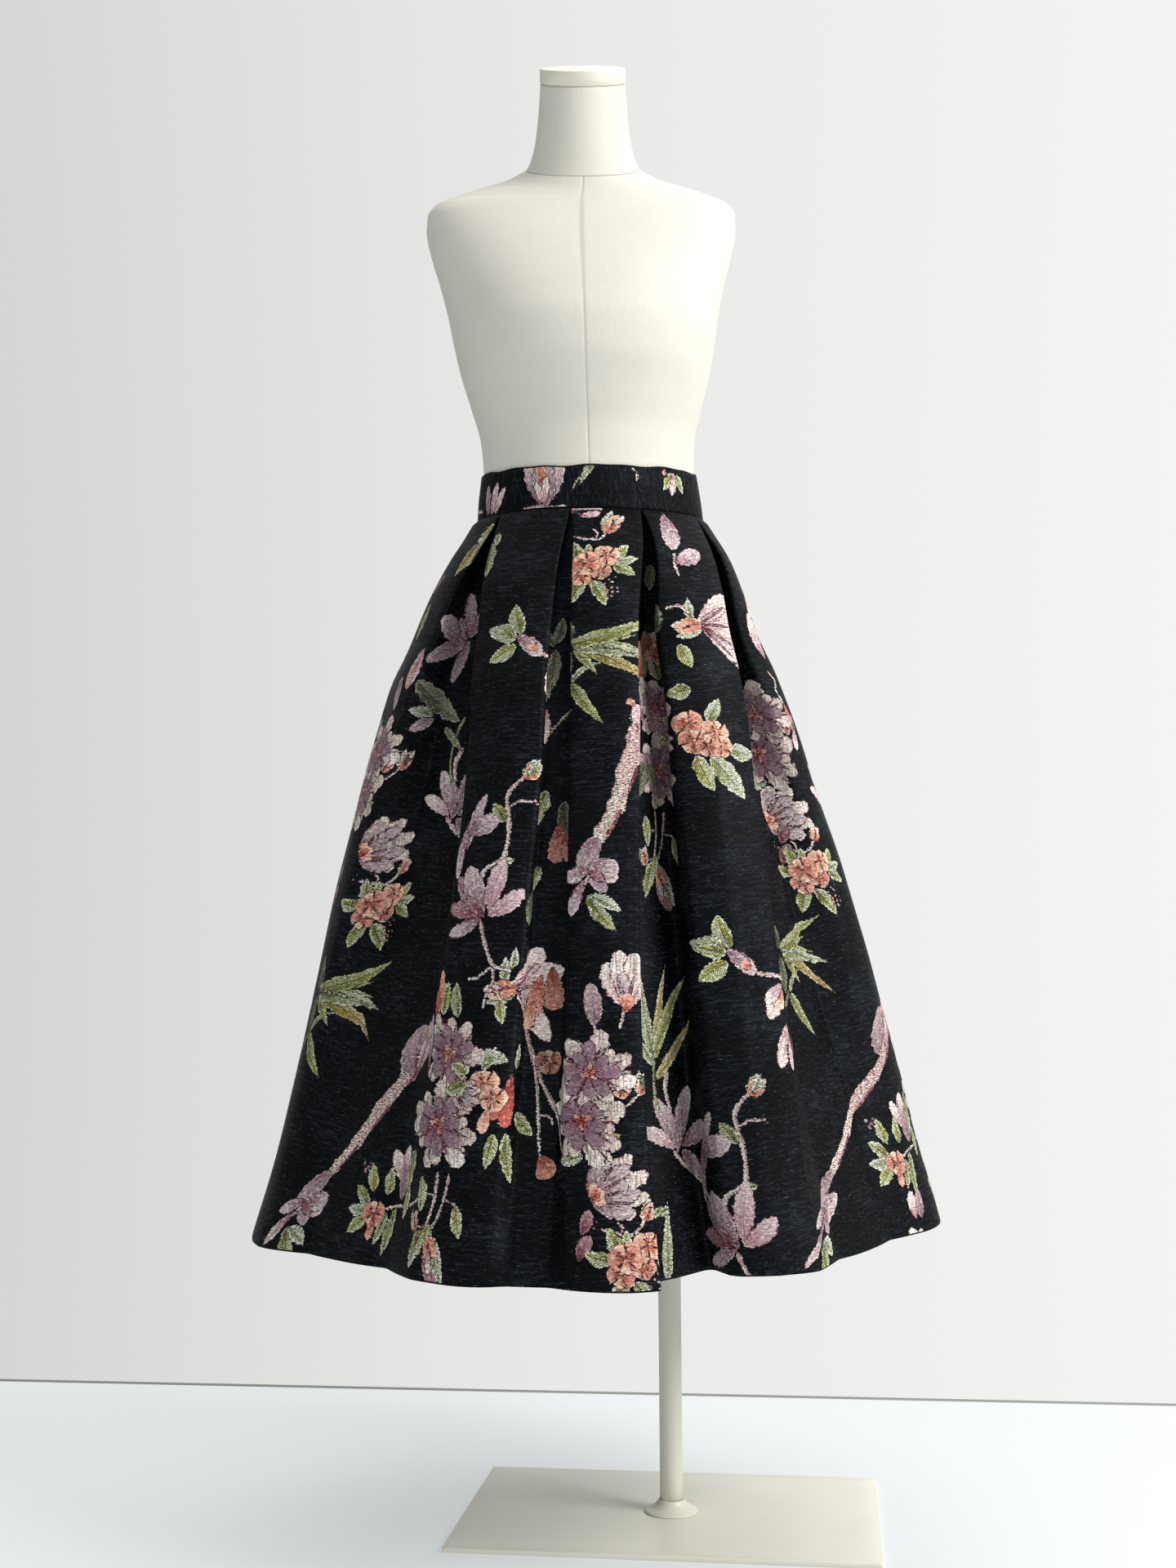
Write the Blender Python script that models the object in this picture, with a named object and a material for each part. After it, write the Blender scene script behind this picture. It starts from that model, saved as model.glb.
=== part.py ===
"""A pleated a-line skirt on a limbless dress form, on a pole and a flat base.

Metres, +Z up, the front faces -Y. The origin is on the floor on the pole's axis.
A section of the skirt is worked out at each height from the lengths of its cloth:
a face, a fold back, an underlay and a fold forward for each inverted box pleat.
"""

import math

import bmesh
import bpy
import numpy as np

GAP = 0.0003  # between pieces at seams and where one rests on another

# Skirt
CLOTH_THICK = 0.0013
LAYER_RADIUS = 0.0013  # of the cloth's turn at a pressed fold
FOLD_ROOM = 0.0009  # between two faces where they meet at the waist
CLOTH_STEP = 0.020  # length of one strip of cloth round the waist
TURN_STEPS = 3  # strips round one fold
SEAM_Z = 1.1032  # waist seam at the side
SEAM_TILT = 0.055  # the waist seam drops towards the front
HEM_Z = 0.3210
HEM_TILT = 0.0134  # the hem rises to the right
HEM_DIP = 0.0155  # the hem drops at the middle of the front and back
PLACE_SHARES = (0.0, 0.27, 0.60, 1.0)  # where the faces' places are given
SEAM_AFTER = ("side_right", "back_left")  # the pleats whose underlay holds a side seam

# Waistband
BAND_TOP_Z = 1.1580
BAND_TOP_TILT = 0.100
BAND_THICK = 0.0026
BAND_SEAM_HALF = (0.1293, 0.0995)
BAND_TOP_HALF = (0.1236, 0.0940)
BAND_ACROSS = (-0.0830, -0.0840)
BAND_SEAMS_DEG = (-70.0, 82.0)  # the band's two side seams, round from the front
BAND_STEPS = 56

# Form and stand
FORM_STEPS = 44
NECK_TILT_DEG = 30.0
CAP_HIGH = 0.017
POLE_RADIUS = 0.0125
POLE_STEPS = 32
BASE_LONG = 0.450
BASE_DEEP = 0.300
BASE_THICK = 0.005
BASE_TURN_DEG = -7.35
BASE_CORNER = 0.003
FLANGE_STEPS = 40

# Rows down the skirt: height at the side, half width, half depth and middle of the guide ring.
OUTLINE_COLUMNS = ("z", "half_wide", "half_deep", "across")
OUTLINE = (
    (1.1032, 0.1325, 0.1030, -0.0830),
    (1.0813, 0.1455, 0.1185, -0.0828),
    (1.0585, 0.1595, 0.1330, -0.0835),
    (1.0200, 0.1780, 0.1520, -0.0862),
    (0.9630, 0.2000, 0.1750, -0.0888),
    (0.9200, 0.2190, 0.1950, -0.0890),
    (0.8700, 0.2355, 0.2130, -0.0866),
    (0.8000, 0.2550, 0.2340, -0.0858),
    (0.7000, 0.2825, 0.2640, -0.0835),
    (0.6000, 0.3060, 0.2890, -0.0803),
    (0.5000, 0.3290, 0.3130, -0.0786),
    (0.4000, 0.3515, 0.3370, -0.0780),
    (0.3210, 0.3738, 0.3615, -0.0790),
)

# Rows down the cloth where the pleats are worked out, as shares of the skirt's length.
RING_SHARES = (0.0, 0.012, 0.032, 0.06, 0.10, 0.15, 0.21, 0.30, 0.41, 0.55, 0.70, 0.85, 1.0)

# A row for each face round the skirt, from the middle of the front to the right and on round.
# waist_share: its part of the waist. high, low, hem: its middle, as a part of the way round,
# at the last three of PLACE_SHARES. wide_mid, wide_hem: its width in mm. reach: how far it
# stands out at the hem, in mm. rounding, roll: how far its left and its right edge
# lie behind the ring, in mm.
FACE_COLUMNS = (
    "name",
    "waist_share",
    "high",
    "low",
    "hem",
    "wide_mid",
    "wide_hem",
    "reach",
    "rounding",
    "roll",
)
FACES = (
    ("front_middle", 0.1059, 0.0140, 0.0044, 0.0055, 72.0, 87.0, 2.0, 14.0, 3.0),
    ("front_right", 0.1074, 0.1033, 0.0845, 0.0812, 88.0, 87.0, -12.0, 28.0, 0.0),
    ("side_right", 0.1103, 0.2260, 0.2200, 0.2180, 84.0, 86.0, 2.0, 15.0, 3.0),
    ("back_right_side", 0.1128, 0.3370, 0.3325, 0.3316, 85.0, 87.0, -3.0, 7.0, 3.0),
    ("back_right", 0.1128, 0.4500, 0.4460, 0.4452, 85.0, 87.0, 4.0, 8.0, 4.0),
    ("back_middle", 0.1128, 0.5640, 0.5600, 0.5588, 85.0, 87.0, -2.0, 7.0, 4.0),
    ("back_left", 0.1128, 0.6790, 0.6735, 0.6724, 85.0, 87.0, 3.0, 8.0, 3.0),
    ("side_left", 0.1103, 0.8020, 0.7890, 0.7860, 84.0, 86.0, 4.0, 1.0, 3.0),
    ("front_left", 0.1170, 0.9340, 0.9355, 0.9310, 90.0, 88.0, -15.0, 12.0, 7.0),
)
FIRST_FACE_MIDDLE = 0.0240  # part of the way round the waist

# A row for the pleat after each face. cloth_waist, cloth_hem: mm of cloth folded into it.
# edge_before, edge_after: radius in mm of its two outer folds at the hem.
PLEAT_COLUMNS = ("after", "cloth_waist", "cloth_hem", "edge_before", "edge_after")
PLEATS = (
    ("front_middle", 140.0, 146.0, 2.5, 30.0),
    ("front_right", 128.0, 238.0, 6.0, 40.0),
    ("side_right", 112.0, 195.0, 25.0, 30.0),
    ("back_right_side", 136.0, 195.0, 22.0, 28.0),
    ("back_right", 136.0, 195.0, 10.0, 26.0),
    ("back_middle", 136.0, 195.0, 24.0, 12.0),
    ("back_left", 112.0, 195.0, 30.0, 24.0),
    ("side_left", 128.0, 262.0, 40.0, 12.0),
    ("front_left", 88.0, 87.0, 28.0, 3.5),
)
INNER_RADIUS_HEM = 0.022  # of an underlay's two folds at the hem

# Rows up the dress form: height, half width, half depth, middle across and forward, tilt in
# degrees of the section towards the front, and how square the section is (2 is an ellipse).
FORM_COLUMNS = ("z", "half_wide", "half_deep", "across", "forward", "tilt", "square")
TORSO = (
    (0.8000, 0.1200, 0.0850, -0.0800, 0.000, 0.0, 2.3),
    (0.8030, 0.1340, 0.0970, -0.0800, 0.000, 0.0, 2.3),
    (0.8120, 0.1460, 0.1060, -0.0802, 0.000, 0.0, 2.3),
    (0.8350, 0.1560, 0.1140, -0.0806, 0.000, 0.0, 2.3),
    (0.8650, 0.1600, 0.1185, -0.0812, 0.000, 0.0, 2.3),
    (0.9050, 0.1575, 0.1180, -0.0820, 0.000, 0.0, 2.25),
    (0.9450, 0.1495, 0.1130, -0.0826, 0.000, 0.0, 2.2),
    (0.9850, 0.1390, 0.1060, -0.0829, 0.000, 0.0, 2.1),
    (1.0250, 0.1290, 0.0985, -0.0830, 0.000, 0.0, 2.05),
    (1.0500, 0.1215, 0.0930, -0.0830, 0.000, 0.0, 2.0),
    (1.0750, 0.1170, 0.0890, -0.0830, 0.000, 0.0, 2.0),
    (1.1000, 0.1200, 0.0905, -0.0830, 0.000, 1.5, 2.0),
    (1.1250, 0.1220, 0.0923, -0.0834, 0.000, 3.0, 2.0),
    (1.1580, 0.1206, 0.0911, -0.0840, 0.000, 4.0, 2.0),
    (1.1950, 0.1225, 0.0930, -0.0850, -0.002, 3.0, 2.05),
    (1.2350, 0.1320, 0.1050, -0.0862, -0.006, 1.0, 2.1),
    (1.2750, 0.1430, 0.1185, -0.0875, -0.011, 0.0, 2.15),
    (1.3100, 0.1500, 0.1230, -0.0885, -0.012, 0.0, 2.2),
    (1.3450, 0.1560, 0.1170, -0.0895, -0.008, 0.0, 2.3),
    (1.3850, 0.1650, 0.1050, -0.0905, -0.002, 1.0, 2.4),
    (1.4200, 0.1745, 0.0940, -0.0912, 0.003, 3.0, 2.45),
    (1.4500, 0.1800, 0.0840, -0.0915, 0.006, 7.0, 2.4),
    (1.4700, 0.1795, 0.0765, -0.0912, 0.008, 11.0, 2.3),
    (1.4860, 0.1700, 0.0700, -0.0908, 0.009, 16.0, 2.15),
    (1.4970, 0.1480, 0.0655, -0.0902, 0.009, 21.0, 2.0),
    (1.5070, 0.1190, 0.0625, -0.0897, 0.009, 25.0, 2.0),
    (1.5160, 0.0880, 0.0610, -0.0892, 0.008, 28.0, 2.0),
    (1.5272, 0.0668, 0.0600, -0.0888, 0.007, 30.0, 2.0),
)
NECK = (
    (1.5276, 0.0664, 0.0596, -0.0888, 0.0068, 30.0, 2.0),
    (1.5335, 0.0626, 0.0573, -0.0888, 0.0037, 30.0, 2.0),
    (1.5415, 0.0592, 0.0549, -0.0888, 0.0000, 30.0, 2.0),
    (1.5540, 0.0559, 0.0527, -0.0888, -0.0047, 30.0, 2.0),
    (1.5740, 0.0530, 0.0507, -0.0887, -0.0103, 30.0, 2.0),
    (1.5960, 0.0509, 0.0493, -0.0886, -0.0155, 30.0, 2.0),
    (1.6190, 0.0493, 0.0481, -0.0886, -0.0207, 30.0, 2.0),
)

MATERIALS = (
    ("black_jacquard", (0.030, 0.034, 0.042), 0.85, 0.0),
    ("form_cloth", (0.80, 0.77, 0.70), 0.80, 0.0),
    ("form_cap", (0.84, 0.81, 0.73), 0.55, 0.0),
    ("cream_paint", (0.70, 0.67, 0.59), 0.42, 0.0),
)


def columns(table, names):
    """The numeric columns of a table, by name."""
    return {
        name: np.array([row[i] for row in table])
        for i, name in enumerate(names)
        if not isinstance(table[0][i], str)
    }


def ease(share):
    return share * share * (3.0 - 2.0 * share)


class GuideRing:
    """An ellipse measured by the length run round it from the middle of the front."""

    def __init__(self, half_wide, half_deep, across):
        self.half = np.array([half_wide, half_deep])
        self.across = across
        self.turn = np.linspace(0.0, 2.0 * math.pi, 1441)
        x = half_wide * np.sin(self.turn)
        y = -half_deep * np.cos(self.turn)
        step = np.hypot(np.diff(x), np.diff(y))
        self.run = np.concatenate([[0.0], np.cumsum(step)])
        self.total = self.run[-1]

    def place(self, run, inward):
        """Points at these lengths round the ring and these distances inside it."""
        turn = np.interp(np.mod(run, self.total), self.run, self.turn)
        x = self.half[0] * np.sin(turn)
        y = -self.half[1] * np.cos(turn)
        nx = np.sin(turn) / self.half[0]
        ny = -np.cos(turn) / self.half[1]
        size = np.hypot(nx, ny)
        return np.stack([x - inward * nx / size + self.across, y - inward * ny / size], axis=1)


def ring_at(share):
    """The guide ring at this share of the way from the waist seam to the hem."""
    outline = columns(OUTLINE, OUTLINE_COLUMNS)
    z = SEAM_Z + (HEM_Z - SEAM_Z) * share
    down = -outline["z"]
    sizes = [np.interp(-z, down, outline[name]) for name in ("half_wide", "half_deep", "across")]
    return GuideRing(*sizes)


def path_moves(lengths, radii, turn):
    """(length, turn) of each straight strip and each fold of a pleat, by how far it is folded."""
    folds = [radius * turn for radius in radii]
    signs = (-1.0, 1.0, 1.0, -1.0)
    moves = []
    for i, length in enumerate(lengths):
        before = folds[i - 1] / 2.0 if i > 0 else 0.0
        after = folds[i] / 2.0 if i < 4 else 0.0
        moves.append((length - before - after, 0.0))
        if i < 4:
            moves.append((folds[i], signs[i] * turn))
    return moves


def walk(moves, counts):
    """(along, inward) points along a path of straight strips and round folds."""
    at = np.zeros(2)
    heading = 0.0
    points = [at.copy()]
    for (length, turn), count in zip(moves, counts):
        for _ in range(count):
            middle = heading + turn / (2.0 * count)
            step = length / count
            if turn:
                half = abs(turn) / (2.0 * count)
                step *= math.sin(half) / half
            at = at + step * np.array([math.cos(middle), -math.sin(middle)])
            heading += turn / count
            points.append(at.copy())
    return np.array(points)


def reach_of(moves):
    """How far along the ring a path gets."""
    heading = 0.0
    along = 0.0
    for length, turn in moves:
        if turn:
            chord = length * math.sin(abs(turn) / 2.0) / (abs(turn) / 2.0)
            along += chord * math.cos(heading + turn / 2.0)
            heading += turn
        else:
            along += length * math.cos(heading)
    return along


def pleat_turn(lengths, radii, along):
    """The turn of a pleat's folds that makes it reach this far along the ring."""
    low, high = 0.05, math.pi
    for _ in range(50):
        turn = (low + high) / 2.0
        limit = 0.85 * lengths[1] / turn
        sizes = [min(radius, limit / 2.0) for radius in radii]
        if reach_of(path_moves(lengths, sizes, turn)) > along:
            low = turn
        else:
            high = turn
    return turn, sizes


def curve_weights(share):
    """How much each of the places given down the cloth counts at this share of its length."""
    weights = []
    for i, own in enumerate(PLACE_SHARES):
        others = [other for j, other in enumerate(PLACE_SHARES) if j != i]
        weights.append(math.prod((share - other) / (own - other) for other in others))
    return weights


def face_places(share, ring):
    """Middle of each face, as a length round the ring, and its width."""
    faces = columns(FACES, FACE_COLUMNS)
    parts = faces["waist_share"] / faces["waist_share"].sum()
    starts = np.cumsum(parts) - parts[0] / 2.0 - parts / 2.0
    places = (FIRST_FACE_MIDDLE + starts, faces["high"], faces["low"], faces["hem"])
    middle = sum(place * weight for place, weight in zip(places, curve_weights(share)))
    waist_wide = parts * ring_at(0.0).total - FOLD_ROOM
    stages = (0.0, 0.25, 0.6, 1.0)
    mid = faces["wide_mid"] / 1000.0
    hem = faces["wide_hem"] / 1000.0
    wide = [np.interp(share, stages, (w, m, m, h)) for w, m, h in zip(waist_wide, mid, hem)]
    return middle * ring.total, np.array(wide)


def strip_counts():
    """How many strips each straight and each fold of each pleat has, at every height."""
    waist = ring_at(0.0)
    _, wide = face_places(0.0, waist)
    cloth = columns(PLEATS, PLEAT_COLUMNS)["cloth_waist"] / 1000.0
    counts = []
    for i, folded in enumerate(cloth):
        fold = max(1, round(folded / 4.0 / CLOTH_STEP))
        under = 2 * max(1, round(folded / 4.0 / CLOTH_STEP))
        face = max(1, round(wide[i] / 2.0 / CLOTH_STEP))
        straight = (face, fold, under, fold, face)
        counts.append([n for pair in zip(straight, (TURN_STEPS,) * 4 + (0,)) for n in pair][:-1])
    return counts


def stand_out(share, ring, middles, wide, run):
    """How far the faces' reach, and the rounding of their sides, move the cloth outwards."""
    faces = columns(FACES, FACE_COLUMNS)
    reach = faces["reach"] / 1000.0
    grown = ease(min(max((share - 0.03) / 0.20, 0.0), 1.0)) / 1000.0
    depth, roll = faces["rounding"] * grown, faces["roll"] * grown
    places = np.append(middles, middles[0] + ring.total)
    values = np.append(reach, reach[0])
    spot = np.mod(run - middles[0], ring.total) + middles[0]
    index = np.clip(np.searchsorted(places, spot, side="right") - 1, 0, len(reach) - 1)
    after = (index + 1) % len(reach)
    between = (spot - places[index]) / (places[index + 1] - places[index])
    out = (values[index] + (values[index + 1] - values[index]) * ease(between)) * share**1.5
    past = spot - places[index] - wide[index] / 2.0
    left = places[index + 1] - wide[after] / 2.0 - spot
    half = np.clip(1.0 + 2.0 * past / wide[index], 0.0, 1.0)
    on_before = depth[index] * (past / wide[index]) ** 2 + roll[index] * half**2
    on_after = depth[after] * (1.0 + left / wide[after]) ** 2
    gap = np.clip(past / np.maximum(past + left, 1e-6), 0.0, 1.0)
    between_faces = roll[index] + (depth[after] - roll[index]) * ease(gap)
    rounded = np.where(left > 0.0, between_faces, on_after)
    return out - np.where(past < 0.0, on_before, rounded)


def cloth_ring(share, counts):
    """Middle of the cloth round the skirt at one height, one list of points for each pleat."""
    ring = ring_at(share)
    middles, wide = face_places(share, ring)
    pleats = columns(PLEATS, PLEAT_COLUMNS)
    soft = share ** 1.6
    inner = LAYER_RADIUS + (INNER_RADIUS_HEM - LAYER_RADIUS) * soft
    count = len(FACES)
    result = []
    for i in range(count):
        after = (i + 1) % count
        start = middles[i]
        end = middles[after] + (ring.total if after == 0 else 0.0)
        cloth = pleats["cloth_waist"][i] * (1.0 - share) + pleats["cloth_hem"][i] * share
        folded = cloth / 1000.0
        room = (end - start) - (wide[i] + wide[after]) / 2.0
        folded = max(folded, 1.04 * room)
        lengths = [wide[i] / 2.0, folded / 4.0, folded / 2.0, folded / 4.0, wide[after] / 2.0]
        edges = [pleats["edge_before"][i] / 1000.0, pleats["edge_after"][i] / 1000.0]
        before, beyond = [LAYER_RADIUS + (edge - LAYER_RADIUS) * soft for edge in edges]
        turn, radii = pleat_turn(lengths, (before, inner, inner, beyond), end - start)
        points = walk(path_moves(lengths, radii, turn), counts[i])
        scale = (end - start) / points[-1, 0]
        run = start + points[:, 0] * scale
        inward = points[:, 1] - stand_out(share, ring, middles, wide, run)
        flat = ring.place(run, inward)
        result.append(np.column_stack([flat, heights(share, flat, ring)]))
    return result


def heights(share, flat, ring):
    """Height of each point: the waist seam's and the hem's own slopes, shared between them."""
    top = SEAM_Z + SEAM_TILT * flat[:, 1]
    front = np.abs(flat[:, 1]) / ring.half[1]
    hem = HEM_Z + HEM_TILT * (flat[:, 0] - ring.across) - HEM_DIP * front
    return top + (hem - top) * share


def skirt_rings():
    """The cloth's middle: for each height, the points of the front panel and the back panel."""
    counts = strip_counts()
    names = [row[0] for row in FACES]
    right, left = [names.index(name) for name in SEAM_AFTER]
    front, back = [], []
    for share in RING_SHARES:
        pleats = cloth_ring(share, counts)
        halves = {}
        for i in (right, left):
            cut = sum(counts[i][:4]) + counts[i][4] // 2
            halves[i] = (pleats[i][: cut + 1], pleats[i][cut:])
        back_parts = [halves[right][1]] + [pleats[i] for i in range(right + 1, left)]
        back_parts.append(halves[left][0])
        front_parts = [halves[left][1]] + [pleats[i] for i in range(left + 1, len(pleats))]
        front_parts += [pleats[i] for i in range(right)] + [halves[right][0]]
        front.append(joined(front_parts))
        back.append(joined(back_parts))
    return np.array(front), np.array(back)


def joined(parts):
    """One run of points from several that share their end points, cut short at both ends."""
    run = np.concatenate([part if i == 0 else part[1:] for i, part in enumerate(parts)])
    for end, inner in ((0, 1), (-1, -2)):
        step = run[inner] - run[end]
        run[end] = run[end] + step / np.linalg.norm(step) * GAP / 2.0
    return run


def sheet_normals(grid):
    """The outward direction at each point of a grid of rings, top to bottom."""
    along = np.gradient(grid, axis=1)
    along /= np.linalg.norm(along, axis=2, keepdims=True)
    down = np.gradient(grid, axis=0)
    normal = np.cross(down, along)
    return normal / np.linalg.norm(normal, axis=2, keepdims=True)


def new_object(name, vertices, faces, material):
    mesh = bpy.data.meshes.new(name)
    mesh.from_pydata([tuple(v) for v in vertices], [], [tuple(f) for f in faces])
    mesh.materials.append(bpy.data.materials[material])
    work = bmesh.new()
    work.from_mesh(mesh)
    bmesh.ops.recalc_face_normals(work, faces=work.faces)
    bmesh.ops.triangulate(work, faces=work.faces)
    work.to_mesh(mesh)
    work.free()
    obj = bpy.data.objects.new(name, mesh)
    bpy.context.scene.collection.objects.link(obj)
    return obj


def wall(name, outer, inner, material):
    """A closed wall between two grids of points with four edges."""
    rows, across = outer.shape[:2]
    vertices = np.concatenate([outer.reshape(-1, 3), inner.reshape(-1, 3)])
    back = rows * across

    def at(row, column, side=0):
        return side * back + row * across + column

    faces = []
    for row in range(rows - 1):
        for column in range(across - 1):
            a, b = at(row, column), at(row, column + 1)
            c, d = at(row + 1, column + 1), at(row + 1, column)
            faces.append((a, b, c, d))
            faces.append((a + back, d + back, c + back, b + back))
    for column in range(across - 1):
        for row in (0, rows - 1):
            a, b = at(row, column), at(row, column + 1)
            faces.append((a, b, b + back, a + back))
    for row in range(rows - 1):
        for column in (0, across - 1):
            a, b = at(row, column), at(row + 1, column)
            faces.append((a, b, b + back, a + back))
    return new_object(name, vertices, faces, material)


def skirt():
    for name, grid in zip(("skirt_front", "skirt_back"), skirt_rings()):
        shift = sheet_normals(grid) * CLOTH_THICK / 2.0
        wall(name, grid + shift, grid - shift, "black_jacquard")


def waistband():
    """Front and back of the band, each a curved wall with its ends at the side seams."""
    left, right = [math.radians(angle) for angle in BAND_SEAMS_DEG]
    for name, start, end in (
        ("waistband_front", left, right),
        ("waistband_back", right, left + 2.0 * math.pi),
    ):
        steps = max(8, round(BAND_STEPS * (end - start) / (2.0 * math.pi)))
        slit = GAP / 2.0 / BAND_SEAM_HALF[1]
        turn = np.linspace(start + slit, end - slit, steps + 1)
        sides = []
        for inset in (0.0, BAND_THICK):
            rows = []
            for share in (0.0, 0.33, 0.67, 1.0):
                wide = BAND_TOP_HALF[0] + (BAND_SEAM_HALF[0] - BAND_TOP_HALF[0]) * share - inset
                deep = BAND_TOP_HALF[1] + (BAND_SEAM_HALF[1] - BAND_TOP_HALF[1]) * share - inset
                across = BAND_ACROSS[1] + (BAND_ACROSS[0] - BAND_ACROSS[1]) * share
                x = wide * np.sin(turn)
                y = -deep * np.cos(turn)
                top = BAND_TOP_Z + BAND_TOP_TILT * y
                seam = SEAM_Z + GAP + CLOTH_THICK / 2.0 + SEAM_TILT * y
                rows.append(np.column_stack([x + across, y, top + (seam - top) * share]))
            sides.append(np.array(rows))
        wall(name, sides[0], sides[1], "black_jacquard")


def form_section(row):
    """One section of the dress form, tilted towards the front about its own middle."""
    z, half_wide, half_deep, across, forward, tilt, square = row
    turn = np.linspace(0.0, 2.0 * math.pi, FORM_STEPS, endpoint=False)
    power = 2.0 / square
    x = half_wide * np.sign(np.sin(turn)) * np.abs(np.sin(turn)) ** power
    y = -half_deep * np.sign(np.cos(turn)) * np.abs(np.cos(turn)) ** power
    lean = math.radians(tilt)
    return np.column_stack(
        [x + across, y * math.cos(lean) + forward, z + y * math.sin(lean)]
    )


def loft(name, sections, material):
    """A closed solid through sections that all have the same number of points."""
    rows, across = len(sections), len(sections[0])
    vertices = np.concatenate(sections)
    faces = []
    for row in range(rows - 1):
        for column in range(across):
            after = (column + 1) % across
            a, b = row * across + column, row * across + after
            faces.append((a, b, b + across, a + across))
    faces.append(tuple(range(across)))
    faces.append(tuple((rows - 1) * across + i for i in range(across)))
    return new_object(name, vertices, faces, material)


def lifted(row, distance, grow=0.0):
    """A section moved along its own tilted axis, and made larger or smaller."""
    z, half_wide, half_deep, across, forward, tilt, square = row
    lean = math.radians(tilt)
    return (
        z + distance * math.cos(lean),
        half_wide + grow,
        half_deep + grow,
        across,
        forward - distance * math.sin(lean),
        tilt,
        square,
    )


def dress_form():
    loft("form_torso", [form_section(row) for row in TORSO], "form_cloth")
    base = lifted(TORSO[-1], GAP)
    neck = [(base[0], NECK[0][1], NECK[0][2], base[3], base[4], NECK_TILT_DEG, 2.0)]
    neck += list(NECK[1:])
    loft("form_neck", [form_section(row) for row in neck], "form_cloth")
    top = NECK[-1]
    cap = [
        lifted(top, GAP, -0.0006),
        lifted(top, GAP + 0.0008, 0.0004),
        lifted(top, CAP_HIGH * 0.5, 0.0004),
        lifted(top, CAP_HIGH - 0.0008, 0.0004),
        lifted(top, CAP_HIGH, -0.0006),
    ]
    loft("form_cap", [form_section(row) for row in cap], "form_cap")


def circle(radius, z, steps):
    turn = np.linspace(0.0, 2.0 * math.pi, steps, endpoint=False)
    return np.column_stack(
        [radius * np.cos(turn), radius * np.sin(turn), np.full(steps, z)]
    )


def stand():
    """The base plate, the flange on it, and the pole up to the underside of the form."""
    turned = math.radians(BASE_TURN_DEG)
    corner = []
    for sx, sy, start in ((1, 1, 0), (-1, 1, 90), (-1, -1, 180), (1, -1, 270)):
        for step in range(4):
            angle = math.radians(start + 30 * step)
            x = sx * (BASE_LONG / 2 - BASE_CORNER) + BASE_CORNER * math.cos(angle)
            y = sy * (BASE_DEEP / 2 - BASE_CORNER) + BASE_CORNER * math.sin(angle)
            corner.append((x, y))
    corner = np.array(corner)
    spin = np.array(
        [[math.cos(turned), math.sin(turned)], [-math.sin(turned), math.cos(turned)]]
    )
    plate = []
    for z, inset in ((0.0, 0.0), (BASE_THICK - 0.0006, 0.0), (BASE_THICK, 0.0006)):
        scale = 1.0 - 2.0 * inset / np.array([BASE_LONG, BASE_DEEP])
        flat = (corner * scale) @ spin
        plate.append(np.column_stack([flat, np.full(len(flat), z)]))
    loft("base_plate", plate, "cream_paint")

    foot = BASE_THICK + GAP
    pole = [circle(POLE_RADIUS, z, POLE_STEPS) for z in (foot, TORSO[0][0] - GAP)]
    loft("pole", pole, "cream_paint")

    bore = POLE_RADIUS + GAP
    profile = [
        (bore, foot),
        (0.0292, foot),
        (0.0295, foot + 0.0008),
        (0.0288, foot + 0.0018),
        (0.0245, foot + 0.0034),
        (0.0195, foot + 0.0064),
        (0.0160, foot + 0.0098),
        (0.0146, foot + 0.0128),
        (bore, foot + 0.0130),
    ]
    rings = [circle(radius, z, FLANGE_STEPS) for radius, z in profile]
    vertices = np.concatenate(rings)
    faces = []
    for row in range(len(rings)):
        below = (row + 1) % len(rings)
        for column in range(FLANGE_STEPS):
            after = (column + 1) % FLANGE_STEPS
            faces.append(
                (
                    row * FLANGE_STEPS + column,
                    row * FLANGE_STEPS + after,
                    below * FLANGE_STEPS + after,
                    below * FLANGE_STEPS + column,
                )
            )
    new_object("pole_flange", vertices, faces, "cream_paint")


def main():
    for obj in list(bpy.data.objects):
        bpy.data.objects.remove(obj)
    for name, colour, roughness, metallic in MATERIALS:
        material = bpy.data.materials.new(name)
        material.use_nodes = True
        shader = material.node_tree.nodes["Principled BSDF"]
        shader.inputs["Base Color"].default_value = (*colour, 1.0)
        shader.inputs["Roughness"].default_value = roughness
        shader.inputs["Metallic"].default_value = metallic
    skirt()
    waistband()
    dress_form()
    stand()


main()
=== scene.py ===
"""Looks of the pleated skirt on its dress form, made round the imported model.

Metres, +Z up, the front faces -Y. The skirt's cloth is worked out as in the part's source:
at each height, from the lengths of its faces and pleats, with many more strips and rows.
"""

import math

import bpy
import numpy as np
from mathutils import Matrix, Vector

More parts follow.
